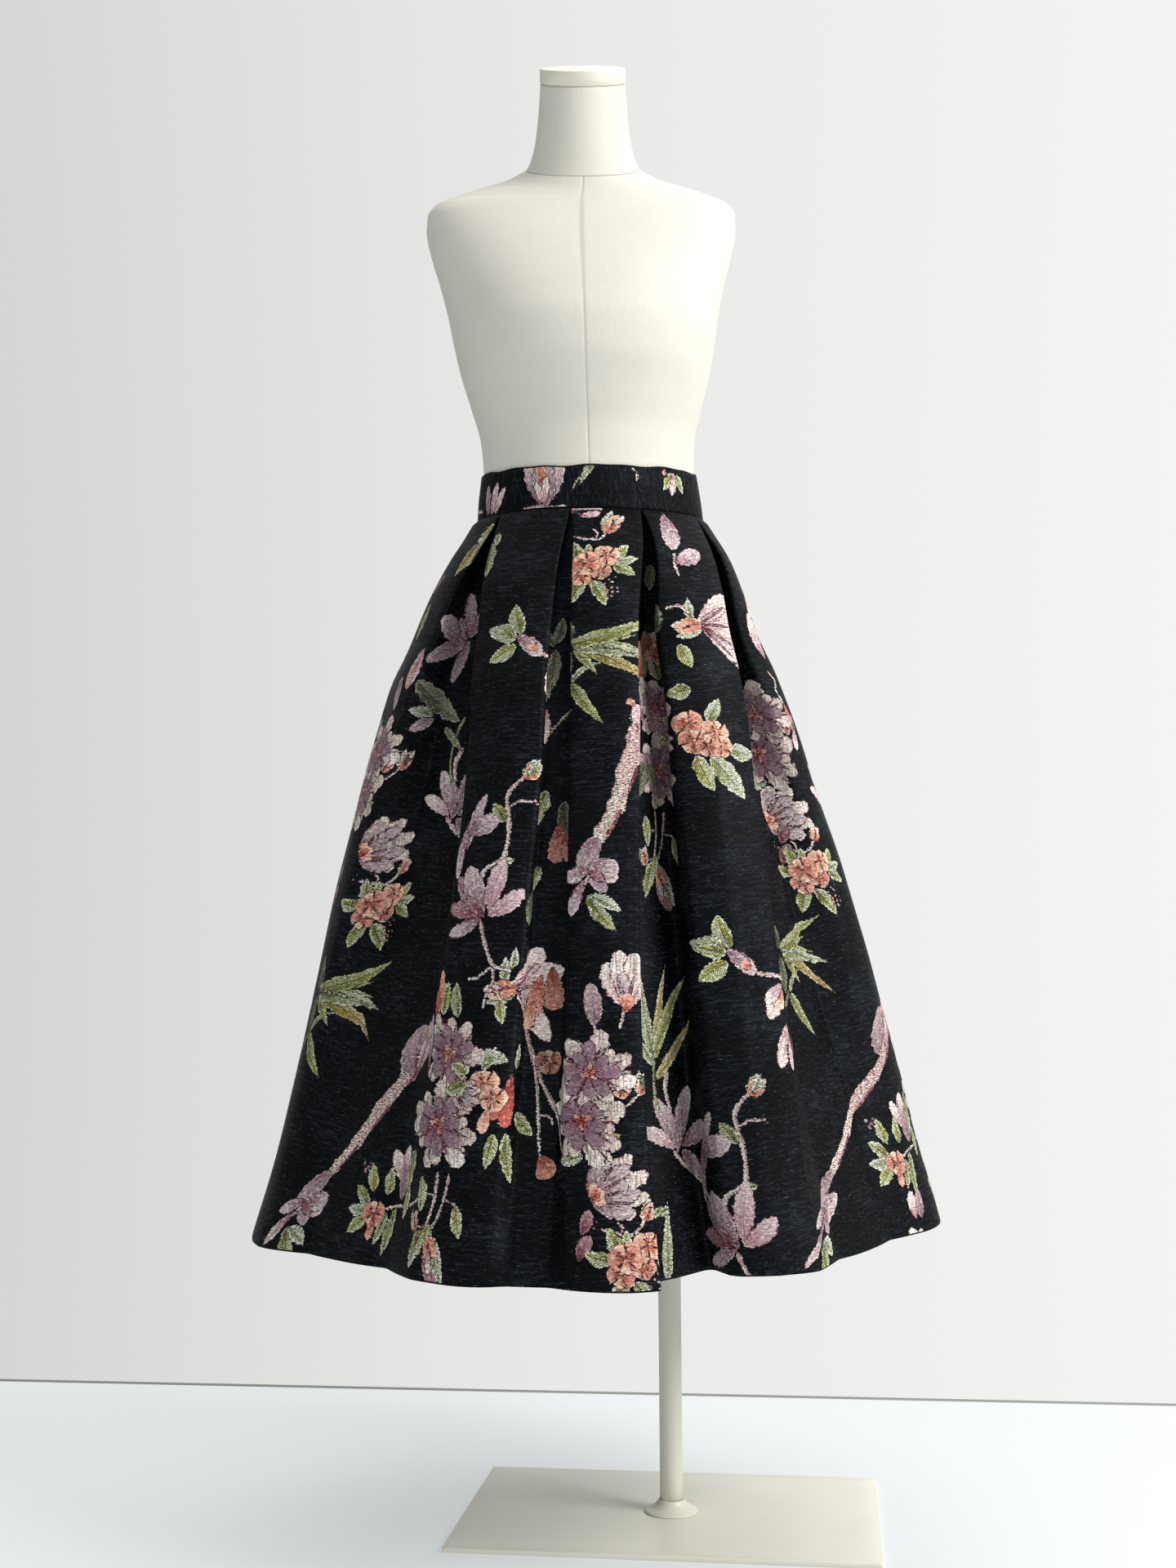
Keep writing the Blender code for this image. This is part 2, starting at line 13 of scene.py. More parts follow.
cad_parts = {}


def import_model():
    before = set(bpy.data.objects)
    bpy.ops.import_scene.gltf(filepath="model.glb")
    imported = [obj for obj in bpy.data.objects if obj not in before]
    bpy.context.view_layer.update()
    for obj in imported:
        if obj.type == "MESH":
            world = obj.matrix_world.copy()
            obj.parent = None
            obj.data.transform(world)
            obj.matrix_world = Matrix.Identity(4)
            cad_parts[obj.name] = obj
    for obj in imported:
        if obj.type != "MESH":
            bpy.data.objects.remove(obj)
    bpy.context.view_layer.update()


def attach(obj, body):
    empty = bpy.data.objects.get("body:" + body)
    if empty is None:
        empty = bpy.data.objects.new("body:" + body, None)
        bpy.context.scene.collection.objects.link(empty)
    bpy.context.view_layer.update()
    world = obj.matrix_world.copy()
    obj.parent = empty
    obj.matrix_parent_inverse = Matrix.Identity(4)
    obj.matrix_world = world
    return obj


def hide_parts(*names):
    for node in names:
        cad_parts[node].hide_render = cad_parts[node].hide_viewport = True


def value_of(word):
    """A name, a number or, where it holds commas, a tuple of them."""
    if "," in word:
        return tuple(value_of(part) for part in word.split(","))
    return word if word[0].isalpha() else float(word)


def table(text):
    """A table's rows, one from each line of text."""
    return [[value_of(word) for word in line.split()] for line in text.strip().split("\n")]


def by_column(text):
    """A table's columns, by the names in its first line."""
    names, *rows = table(text)
    return {name: np.array([row[i] for row in rows]) for i, name in enumerate(names)}


def by_row(text):
    """A table's rows, by the names in its first column."""
    return {name: values for name, *values in table(text)}


# ---------------- sizes shared with the part

LAYER_RADIUS = 0.0013  # of the folds at the waist, to the middle of the cloth
FOLD_ROOM = 0.0009  # left between two faces at the waist
CLOTH_THICK = 0.0013
SEAM_Z = 1.1032
SEAM_TILT = 0.055  # rise of the waist seam towards the back
HEM_Z = 0.3210
HEM_TILT = 0.0134  # and of the hem towards the wearer's left,
HEM_DIP = 0.0155  # and how much lower it is in front and behind
PLACE_SHARES = (0.0, 0.27, 0.60, 1.0)  # shares of the length where the faces' places are given
SEAM_AFTER = ("side_right", "back_left")  # each side seam is in the pleat after this face
OUTLINE = by_column("""
z half_wide half_deep across
1.1032 0.1325 0.103 -0.083
1.0813 0.1455 0.1185 -0.0828
1.0585 0.1595 0.133 -0.0835
1.02 0.178 0.152 -0.0862
0.963 0.2 0.175 -0.0888
0.92 0.219 0.195 -0.089
0.87 0.2355 0.213 -0.0866
0.8 0.255 0.234 -0.0858
0.7 0.2825 0.264 -0.0835
0.6 0.306 0.289 -0.0803
0.5 0.329 0.313 -0.0786
0.4 0.3515 0.337 -0.078
0.321 0.3738 0.3615 -0.079
""")
# Each face: its share of the waist, its middle's place round the skirt at the lower PLACE_SHARES,
# and in mm its widths, how far it stands out, and how much its edges are rounded and roll in.
FACES = by_column("""
name waist_share high low hem wide_mid wide_hem reach rounding roll
front_middle 0.1059 0.014 0.0044 0.0055 72 87 2 14 3
front_right 0.1074 0.1033 0.0845 0.0812 88 87 -12 28 0
side_right 0.1103 0.226 0.22 0.218 84 86 2 15 3
back_right_side 0.1128 0.337 0.3325 0.3316 85 87 -3 7 3
back_right 0.1128 0.45 0.446 0.4452 85 87 4 8 4
back_middle 0.1128 0.564 0.56 0.5588 85 87 -2 7 4
back_left 0.1128 0.679 0.6735 0.6724 85 87 3 8 3
side_left 0.1103 0.802 0.789 0.786 84 86 4 1 3
front_left 0.117 0.934 0.9355 0.931 90 88 -15 12 7
""")
FIRST_FACE_MIDDLE = 0.0240  # place of the first face's middle round the waist
# The pleat after each face, in mm: its cloth at the waist and the hem, and the radius at the hem of
# the folds at its two edges.
PLEATS = by_column("""
after cloth_waist cloth_hem edge_before edge_after
front_middle 140 146 2.5 30
front_right 128 238 6 40
side_right 112 195 25 30
back_right_side 136 195 22 28
back_right 136 195 10 26
back_middle 136 195 24 12
back_left 112 195 30 24
side_left 128 262 40 12
front_left 88 87 28 3.5
""")
INNER_RADIUS_HEM = 0.022  # of a pleat's two inner folds
ROUNDED_FROM, ROUNDED_OVER = 0.03, 0.20  # the faces' edges round off from here, over this share
REACH_POWER = 1.5  # how the faces stand out more down the skirt,
SOFT_POWER = 1.6  # and how their folds open
LEAST_SLACK = 1.04  # of a pleat's cloth, against the room between its faces
FOLD_SHARE = 0.85  # of a pleat's first strip that two folds can take up

BAND_TOP_Z = 1.1580
BAND_TOP_TILT = 0.100
BAND_THICK = 0.0026
BAND_SEAM_HALF = (0.1293, 0.0995)  # half width and depth at the waist seam,
BAND_TOP_HALF = (0.1236, 0.0940)  # and at the top
BAND_ACROSS = (-0.0830, -0.0840)  # its middle at the seam and the top
BAND_SEAMS_DEG = (-70.0, 82.0)
GAP = 0.0003  # between one piece and the next

# The form's sections: height, half width, half depth, middle across and forward, tilt in degrees
# and how square.
TORSO = table("""
0.8 0.12 0.085 -0.08 0 0 2.3
0.803 0.134 0.097 -0.08 0 0 2.3
0.812 0.146 0.106 -0.0802 0 0 2.3
0.835 0.156 0.114 -0.0806 0 0 2.3
0.865 0.16 0.1185 -0.0812 0 0 2.3
0.905 0.1575 0.118 -0.082 0 0 2.25
0.945 0.1495 0.113 -0.0826 0 0 2.2
0.985 0.139 0.106 -0.0829 0 0 2.1
1.025 0.129 0.0985 -0.083 0 0 2.05
1.05 0.1215 0.093 -0.083 0 0 2
1.075 0.117 0.089 -0.083 0 0 2
1.1 0.12 0.0905 -0.083 0 1.5 2
1.125 0.122 0.0923 -0.0834 0 3 2
1.158 0.1206 0.0911 -0.084 0 4 2
1.195 0.1225 0.093 -0.085 -0.002 3 2.05
1.235 0.132 0.105 -0.0862 -0.006 1 2.1
1.275 0.143 0.1185 -0.0875 -0.011 0 2.15
1.31 0.15 0.123 -0.0885 -0.012 0 2.2
1.345 0.156 0.117 -0.0895 -0.008 0 2.3
1.385 0.165 0.105 -0.0905 -0.002 1 2.4
1.42 0.1745 0.094 -0.0912 0.003 3 2.45
1.45 0.18 0.084 -0.0915 0.006 7 2.4
1.47 0.1795 0.0765 -0.0912 0.008 11 2.3
1.486 0.17 0.07 -0.0908 0.009 16 2.15
1.497 0.148 0.0655 -0.0902 0.009 21 2
1.507 0.119 0.0625 -0.0897 0.009 25 2
1.516 0.088 0.061 -0.0892 0.008 28 2
1.5272 0.0668 0.06 -0.0888 0.007 30 2
""")
NECK = table("""
1.5276 0.0664 0.0596 -0.0888 0.0068 30 2
1.5335 0.0626 0.0573 -0.0888 0.0037 30 2
1.5415 0.0592 0.0549 -0.0888 0 30 2
1.554 0.0559 0.0527 -0.0888 -0.0047 30 2
1.574 0.053 0.0507 -0.0887 -0.0103 30 2
1.596 0.0509 0.0493 -0.0886 -0.0155 30 2
1.619 0.0493 0.0481 -0.0886 -0.0207 30 2
""")
CAP_HIGH = 0.017
POLE_RADIUS = 0.0125
BASE_LONG = 0.450
BASE_DEEP = 0.300
BASE_THICK = 0.005
BASE_TURN_DEG = -7.35
BASE_CORNER = 0.003
BASE_EDGE = 0.0008
# The flange's profile over its foot: radius and height.
FLANGE = table("""
0.0292 0
0.0295 0.0006
0.0293 0.0013
0.0282 0.002
0.0262 0.0027
0.0238 0.0038
0.0212 0.0052
0.019 0.0068
0.0171 0.0087
0.0157 0.0105
0.0148 0.0122
0.0143 0.0129
0.0138 0.013
""")

# ---------------- sizes of this scene

FACE_STEP = 0.0075  # length of one strip of cloth round the hem, on a face
FOLD_STEP = 0.0100  # and inside a pleat
TURN_STEPS = 6  # strips round one fold
ROWS = 112  # rows down the skirt
BAND_ROWS = 15
EDGE_STEPS = 3  # rows round a cloth's edge
TOP_ROLL = 0.0045  # the skirt turns in under the band over this length
TOP_ROLL_DEEP = 0.0022
HEM_TURNED = 0.034  # cloth turned up inside the hem
HEM_EXTRA = 0.0010  # and how much thicker that makes it,
HEM_EASE = 0.004  # growing over this length
SEAM_DEEP, SEAM_WIDE = 0.0005, 0.0007  # of the grooves in the form's cover

CAMERA_PLACE = (-0.0870, -2.0640, 0.6180)
CAMERA_PITCH, CAMERA_ROLL = 0.089868, -0.005595  # radians
CAMERA_LENS = 41.98  # mm, for a sensor 36 mm wide
WALL_LINE = ((-0.88, 0.64), (0.66, 0.47))  # two points of the line where floor and wall meet
FLOOR_FAR = 7.0
# The ground's darkest, common and lightest yarns.
GROUND = ((0.0006, 0.0007, 0.0009), (0.0148, 0.0194, 0.0268), (0.092, 0.114, 0.146))
RIB_PITCH = 0.0016  # of the ground's weave
VEIN_PITCH = 0.0031  # of a leaf's side veins


def ease(share):
    return share * share * (3.0 - 2.0 * share)


def smooth_rise(value, low, high):
    """0 below low, 1 above high, and a smooth step between them."""
    return ease(np.clip((np.asarray(value, float) - low) / (high - low), 0.0, 1.0))


def unit(vectors):
    return vectors / np.linalg.norm(vectors, axis=-1, keepdims=True)


def run_of(steps, axis=0):
    """The length run at each point, from the lengths of the steps between them."""
    start = np.zeros_like(np.take(steps, [0], axis))
    return np.concatenate([start, np.cumsum(steps, axis)], axis)


def curve_through(x, xs, ys):
    """A smooth curve through points, with no overshoot between them."""
    xs, ys = np.asarray(xs, float), np.asarray(ys, float)
    gaps = np.diff(xs)
    slopes = np.diff(ys) / gaps
    ends = np.zeros(len(xs))
    ends[0], ends[-1] = slopes[0], slopes[-1]
    for i in range(1, len(xs) - 1):
        before, after = slopes[i - 1], slopes[i]
        if before * after > 0:
            first, second = 2 * gaps[i] + gaps[i - 1], gaps[i] + 2 * gaps[i - 1]
            ends[i] = (first + second) / (first / before + second / after)
    x = np.clip(np.asarray(x, float), xs[0], xs[-1])
    i = np.clip(np.searchsorted(xs, x, side="right") - 1, 0, len(gaps) - 1)
    part = (x - xs[i]) / gaps[i]
    square, cube = part**2, part**3
    return (
        ys[i] * (2 * cube - 3 * square + 1)
        + ends[i] * gaps[i] * (cube - 2 * square + part)
        + ys[i + 1] * (3 * square - 2 * cube)
        + ends[i + 1] * gaps[i] * (cube - square)
    )


# ---------------- the skirt's cloth


class GuideRing:
    """An ellipse measured by the length run round it from the middle of the front."""

    def __init__(self, half_wide, half_deep, across):
        self.half = np.array([half_wide, half_deep])
        self.across = across
        self.turn = np.linspace(0.0, 2.0 * math.pi, 1441)
        x = half_wide * np.sin(self.turn)
        y = -half_deep * np.cos(self.turn)
        self.run = run_of(np.hypot(np.diff(x), np.diff(y)))
        self.total = self.run[-1]

    def place(self, run, inward):
        """Points at these lengths round the ring and these distances inside it."""
        turn = np.interp(np.mod(run, self.total), self.run, self.turn)
        x = self.half[0] * np.sin(turn)
        y = -self.half[1] * np.cos(turn)
        nx = np.sin(turn) / self.half[0]
        ny = -np.cos(turn) / self.half[1]
        size = np.hypot(nx, ny)
        return np.stack([x - inward * nx / size + self.across, y - inward * ny / size], axis=1)


def ring_at(share):
    """The guide ring at this share of the way from the waist seam to the hem."""
    down = SEAM_Z - OUTLINE["z"]
    drop = (SEAM_Z - HEM_Z) * share
    names = ("half_wide", "half_deep", "across")
    return GuideRing(*[float(curve_through(drop, down, OUTLINE[name])) for name in names])


def path_moves(lengths, radii, turn):
    """(length, turn) of each straight strip and each fold of a pleat, by how far it is folded."""
    folds = [radius * turn for radius in radii]
    signs = (-1.0, 1.0, 1.0, -1.0)
    moves = []
    for i, length in enumerate(lengths):
        before = folds[i - 1] / 2.0 if i > 0 else 0.0
        after = folds[i] / 2.0 if i < 4 else 0.0
        moves.append((length - before - after, 0.0))
        if i < 4:
            moves.append((folds[i], signs[i] * turn))
    return moves


def walk(moves, counts):
    """(along, inward) points along a path of straight strips and round folds."""
    along = inward = heading = 0.0
    points = [(along, inward)]
    for (length, turn), count in zip(moves, counts):
        step, half = length / count, abs(turn) / (2.0 * count)
        if turn:
            step *= math.sin(half) / half
        for _ in range(count):
            middle = heading + turn / (2.0 * count)
            along += step * math.cos(middle)
            inward -= step * math.sin(middle)
            heading += turn / count
            points.append((along, inward))
    return np.array(points)


def pleat_turn(lengths, radii, along):
    """The turn of a pleat's folds that makes it reach this far along the ring."""
    low, high = 0.05, math.pi
    for _ in range(34):
        turn = (low + high) / 2.0
        limit = FOLD_SHARE * lengths[1] / turn
        sizes = [min(radius, limit / 2.0) for radius in radii]
        if walk(path_moves(lengths, sizes, turn), (1,) * 9)[-1, 0] > along:
            low = turn
        else:
            high = turn
    return turn, sizes


def curve_weights(share):
    """How much each of the places given down the cloth counts at this share of its length."""
    weights = []
    for i, own in enumerate(PLACE_SHARES):
        others = [other for j, other in enumerate(PLACE_SHARES) if j != i]
        weights.append(math.prod((share - other) / (own - other) for other in others))
    return weights


def face_places(share, ring, waist_total):
    """Middle of each face, as a length round the ring, and its width."""
    parts = FACES["waist_share"] / FACES["waist_share"].sum()
    starts = np.cumsum(parts) - parts[0] / 2.0 - parts / 2.0
    places = (FIRST_FACE_MIDDLE + starts, FACES["high"], FACES["low"], FACES["hem"])
    middle = sum(place * weight for place, weight in zip(places, curve_weights(share)))
    waist = parts * waist_total - FOLD_ROOM
    mid, hem = FACES["wide_mid"] / 1000.0, FACES["wide_hem"] / 1000.0
    stages = (0.0, 0.25, 0.6, 1.0)
    wide = [float(curve_through(share, stages, (w, m, m, h))) for w, m, h in zip(waist, mid, hem)]
    return middle * ring.total, np.array(wide)


def strip_counts():
    """How many strips each straight and each fold of each pleat has, at every height."""
    counts = []
    for row in zip(PLEATS["cloth_waist"], PLEATS["cloth_hem"], FACES["wide_hem"]):
        folded, wide = max(row[:2]) / 1000.0, row[2] / 1000.0
        fold = max(4, round(folded / 4.0 / FOLD_STEP))
        face = max(5, round(wide / 2.0 / FACE_STEP))
        straight = (face, fold, 2 * fold, fold, face)
        counts.append([n for pair in zip(straight, (TURN_STEPS,) * 4 + (0,)) for n in pair][:-1])
    return counts


def stand_out(share, ring, middles, wide, run):
    """How far the faces' reach, and the rounding of their sides, move the cloth outwards."""
    reach = FACES["reach"] / 1000.0
    grown = ease(min(max((share - ROUNDED_FROM) / ROUNDED_OVER, 0.0), 1.0)) / 1000.0
    depth, roll = FACES["rounding"] * grown, FACES["roll"] * grown
    places = np.append(middles, middles[0] + ring.total)
    spot = np.mod(run - middles[0], ring.total) + middles[0]
    index = np.clip(np.searchsorted(places, spot, side="right") - 1, 0, len(reach) - 1)
    after = (index + 1) % len(reach)
    between = (spot - places[index]) / (places[index + 1] - places[index])
    out = (reach[index] + (reach[after] - reach[index]) * ease(between)) * share**REACH_POWER
    past = spot - places[index] - wide[index] / 2.0
    left = places[index + 1] - wide[after] / 2.0 - spot
    half = np.clip(1.0 + 2.0 * past / wide[index], 0.0, 1.0)
    on_before = depth[index] * (past / wide[index]) ** 2 + roll[index] * half**2
    on_after = depth[after] * (1.0 + left / wide[after]) ** 2
    gap = np.clip(past / np.maximum(past + left, 1e-6), 0.0, 1.0)
    between_faces = roll[index] + (depth[after] - roll[index]) * ease(gap)
    rounded = np.where(left > 0.0, between_faces, on_after)
    return out - np.where(past < 0.0, on_before, rounded)


def heights(share, flat, ring):
    """Height of each point: the waist seam's and the hem's own slopes, shared between them."""
    top = SEAM_Z + SEAM_TILT * flat[:, 1]
    front = np.abs(flat[:, 1]) / ring.half[1]
    hem = HEM_Z + HEM_TILT * (flat[:, 0] - ring.across) - HEM_DIP * front
    return top + (hem - top) * share


def cloth_ring(share, counts, waist_total):
    """Middle of the cloth round the skirt at one height, one list of points for each pleat."""
    ring = ring_at(share)
    middles, wide = face_places(share, ring, waist_total)
    soft = share**SOFT_POWER
    inner = LAYER_RADIUS + (INNER_RADIUS_HEM - LAYER_RADIUS) * soft
    result = []
    for i, start in enumerate(middles):
        after = (i + 1) % len(middles)
        end = middles[after] + (ring.total if after == 0 else 0.0)
        cloth = PLEATS["cloth_waist"][i] * (1.0 - share) + PLEATS["cloth_hem"][i] * share
        room = (end - start) - (wide[i] + wide[after]) / 2.0
        folded = max(cloth / 1000.0, LEAST_SLACK * room)
        lengths = [wide[i] / 2.0, folded / 4.0, folded / 2.0, folded / 4.0, wide[after] / 2.0]
        edges = [PLEATS[key][i] / 1000.0 for key in ("edge_before", "edge_after")]
        before, beyond = [LAYER_RADIUS + (edge - LAYER_RADIUS) * soft for edge in edges]
        turn, radii = pleat_turn(lengths, (before, inner, inner, beyond), end - start)
        points = walk(path_moves(lengths, radii, turn), counts[i])
        run = start + points[:, 0] * ((end - start) / points[-1, 0])
        inward = points[:, 1] - stand_out(share, ring, middles, wide, run)
        flat = ring.place(run, inward)
        result.append(np.column_stack([flat, heights(share, flat, ring)]))
    return result


def row_shares():
    """Shares of the skirt's length for its rows, closer together near the waist."""
    even = np.linspace(0.0, 1.0, ROWS)
    return 0.35 * even**2.2 + 0.65 * even


def joined(parts):
    """One run of points from several that share their end points, cut short at both ends."""
    run = np.concatenate([part if i == 0 else part[1:] for i, part in enumerate(parts)])
    for end, inner in ((0, 1), (-1, -2)):
        step = run[inner] - run[end]
        run[end] = run[end] + unit(step) * GAP / 2.0
    return run


def skirt_grids():
    """The cloth's middle for the front and the back panel, and the column of each face's middle."""
    counts = strip_counts()
    names = list(FACES["name"])
    right, left = [names.index(name) for name in SEAM_AFTER]
    cuts = {i: sum(counts[i][:4]) + counts[i][4] // 2 for i in (right, left)}
    waist_total = ring_at(0.0).total
    front, back = [], []
    for share in row_shares():
        pleats = cloth_ring(share, counts, waist_total)
        before = {i: pleats[i][: cut + 1] for i, cut in cuts.items()}
        beyond = {i: pleats[i][cut:] for i, cut in cuts.items()}
        front.append(joined([beyond[left], *pleats[left + 1 :], *pleats[:right], before[right]]))
        back.append(joined([beyond[right], *pleats[right + 1 : left], before[left]]))
    sizes = [sum(c) for c in counts]
    front_middle = sizes[left] - cuts[left] + sum(sizes[left + 1 :])
    back_middle = sizes[right] - cuts[right] + sum(sizes[right + 1 : names.index("back_middle")])
    return np.array(front), np.array(back), front_middle, back_middle


def sheet_normals(grid):
    """The outward direction at each point of a grid of rings, top to bottom."""
    return unit(np.cross(np.gradient(grid, axis=0), unit(np.gradient(grid, axis=1))))


class Cloth:
    """A strip of cloth as a grid of points, measured round and down from a middle column."""

    def __init__(self, grid, middle):
        self.rows, self.across = grid.shape[:2]
        self.grid = grid
        self.middle = middle
        self.measure()

    def measure(self):
        self.normals = sheet_normals(self.grid)
        self.round = run_of(np.linalg.norm(np.diff(self.grid, axis=1), axis=2), 1)
        self.round -= self.round[:, self.middle][:, None]
        self.down = run_of(np.linalg.norm(np.diff(self.grid, axis=0), axis=2))
        self.fall = np.median(self.down, axis=1)

    def row_of(self, down):
        return np.interp(down, self.fall, np.arange(self.rows))

    def column_of(self, row, around):
        """Columns at these rows and lengths round the cloth; past its ends they go on evenly."""
        low = np.clip(np.floor(row).astype(int), 0, self.rows - 2)
        part = row - low
        found = np.empty(len(row))
        for i in np.unique(low):
            pick = low == i
            near = self.along_row(i, around[pick])
            far = self.along_row(i + 1, around[pick])
            found[pick] = near + (far - near) * part[pick]
        return found

    def along_row(self, i, around):
        run = self.round[i]
        inside = np.interp(around, run, np.arange(self.across))
        before = (around - run[0]) / (run[1] - run[0])
        beyond = self.across - 1 + (around - run[-1]) / (run[-1] - run[-2])
        return np.where(around < run[0], before, np.where(around > run[-1], beyond, inside))

    def read(self, values, row, column):
        """Values of the grid between its points."""
        i = np.clip(np.floor(row).astype(int), 0, self.rows - 2)
        j = np.clip(np.floor(column).astype(int), 0, self.across - 2)
        v, u = row - i, column - j
        if values.ndim == 3:
            u, v = u[:, None], v[:, None]
        top = values[i, j] * (1 - u) + values[i, j + 1] * u
        low = values[i + 1, j] * (1 - u) + values[i + 1, j + 1] * u
        return top * (1 - v) + low * v

    def move(self, outward, amount):
        """Moves every point in its own direction by its own amount."""
        self.grid = self.grid + outward * amount[:, :, None]
        self.measure()


# ---------------- meshes


def new_piece(name, vertices, faces, materials, slots=None, vectors=None):
    """A smooth mesh object. vectors: {attribute name: (n, 3) values at the vertices}."""
    mesh = bpy.data.meshes.new(name)
    mesh.from_pydata(np.asarray(vertices).tolist(), [], [list(map(int, f)) for f in faces])
    for material in materials:
        mesh.materials.append(material)
    if slots is not None:
        mesh.polygons.foreach_set("material_index", np.asarray(slots, np.int32))
    mesh.polygons.foreach_set("use_smooth", np.ones(len(mesh.polygons), bool))
    for key, values in (vectors or {}).items():
        made = mesh.attributes.new(key, "FLOAT_VECTOR", "POINT")
        made.data.foreach_set("vector", np.asarray(values, np.float32).ravel())
    mesh.update()
    obj = bpy.data.objects.new(name, mesh)
    bpy.context.scene.collection.objects.link(obj)
    return obj


def grid_faces(rows, across, closed_round=False, closed_down=False):
    """Quads between a grid's points, facing out where the grid runs down and round to the right."""
    row = np.arange(rows if closed_down else rows - 1)
    column = np.arange(across if closed_round else across - 1)
    i, j = np.meshgrid(row, column, indexing="ij")
    below, after = (i + 1) % rows, (j + 1) % across
    quads = [i * across + j, below * across + j, below * across + after, i * across + after]
    return np.stack(quads, axis=-1).reshape(-1, 4)


def roll(cloth, row, outer_by, inner_by):
    """Rows round a cloth's edge, from its outer side to its inner side."""
    grid, normal = cloth.grid[row], cloth.normals[row]
    away = unit(grid - cloth.grid[row - 1 if row else 1])
    middle = grid + normal * (outer_by - inner_by) / 2.0
    radius = (outer_by + inner_by) / 2.0
    turns = np.linspace(0.0, math.pi, EDGE_STEPS + 2)[1:-1]
    return [middle + radius * (normal * math.cos(t) + away * math.sin(t)) for t in turns]


def shell(name, cloth, outer_by, inner_by, materials, is_band=False):
    """A closed wall of cloth with a rounded lower edge; inner_by has a value for each row.

    The band's upper edge is round too, and its weft runs down it.
    """
    inner_by = np.broadcast_to(inner_by, cloth.rows)
    outer = cloth.grid + cloth.normals * outer_by
    inner = cloth.grid - cloth.normals * inner_by[:, None, None]
    low = roll(cloth, cloth.rows - 1, outer_by, inner_by[-1])
    top = roll(cloth, 0, outer_by, inner_by[0])[::-1] if is_band else []
    profile = [*outer, *low, *inner[::-1], *top]
    down = [*range(cloth.rows), *[cloth.rows - 1] * len(low)]
    down += [*range(cloth.rows - 1, -1, -1), *[0] * len(top)]
    across = cloth.across
    faces = grid_faces(len(profile), across, closed_down=True)
    row_of_face = np.repeat(np.arange(len(profile)), across - 1)
    turned = cloth.rows + EDGE_STEPS
    slots = ((row_of_face >= turned) & (row_of_face < turned + cloth.rows - 5)).astype(int)
    caps = []
    last = turned + cloth.rows - 1
    for column in (0, across - 1):
        loops = [(i, i + 1, last - i - 1, last - i) for i in range(cloth.rows - 1)]
        loops.append(range(cloth.rows - 1, turned + 1))
        if is_band:
            loops.append([*range(last, last + EDGE_STEPS + 1), 0])
        for loop in loops:
            edge = [i * across + column for i in loop]
            caps.append(edge[::-1] if column == 0 else edge)
    lengths = np.stack([cloth.round, cloth.down, np.zeros_like(cloth.down)], axis=2)
    if is_band:
        lengths = lengths[:, :, [1, 0, 2]]
    measured = {"cloth": np.concatenate([lengths[i] for i in down])}
    slots = [*slots, *[0] * len(caps)]
    faces = [*faces.tolist(), *caps]
    return new_piece(name, np.concatenate(profile), faces, materials, slots, measured)


# ---------------- creases

# Soft creases: metres of cloth round and down to the middle, length, width, depth (out is
# positive) and lean, in metres and degrees.
FRONT_CREASES = table("""
-0.02 0.11 0.17 0.014 0.001 2
0.012 0.33 0.33 0.02 -0.0013 -3
0.022 0.56 0.3 0.018 0.001 3
-0.024 0.7 0.24 0.022 -0.0012 -2
0.135 0.14 0.2 0.015 0.0012 4
0.175 0.35 0.3 0.02 -0.0016 -5
0.205 0.6 0.32 0.024 0.0016 4
0.285 0.25 0.28 0.02 0.0014 3
0.33 0.48 0.34 0.026 -0.0018 -4
0.4 0.68 0.26 0.028 0.0016 6
0.48 0.4 0.33 0.024 -0.0015 5
-0.13 0.13 0.19 0.015 0.0012 -4
-0.165 0.33 0.31 0.02 -0.0015 5
-0.19 0.59 0.33 0.024 0.0017 -4
-0.285 0.24 0.27 0.02 -0.0014 -3
-0.32 0.47 0.35 0.026 0.0018 4
-0.39 0.69 0.25 0.028 -0.0016 -6
-0.47 0.39 0.34 0.024 0.0015 -5
""")
BACK_CREASES = table("""
0.015 0.15 0.22 0.016 0.0012 3
-0.02 0.42 0.35 0.022 -0.0016 -3
0.018 0.68 0.25 0.024 0.0014 4
0.18 0.19 0.23 0.016 -0.0012 -4
0.205 0.45 0.33 0.024 0.0017 5
0.24 0.7 0.23 0.026 -0.0014 -4
0.38 0.3 0.31 0.02 0.0014 3
0.44 0.6 0.33 0.028 -0.0017 -5
-0.185 0.21 0.24 0.016 0.0013 4
-0.215 0.48 0.34 0.024 -0.0018 -5
-0.245 0.71 0.22 0.026 0.0014 4
-0.39 0.32 0.32 0.02 -0.0014 -3
-0.45 0.62 0.31 0.028 0.0017 5
""")
# A slow unevenness: height, how fast it waves round and down, in radians a metre, and its phase.
SLOW_WAVES = ((0.0005, 41.0, 7.0, 1.0), (0.0004, 23.0, -17.0, 1.7), (0.0003, 71.0, 29.0, -1.0))


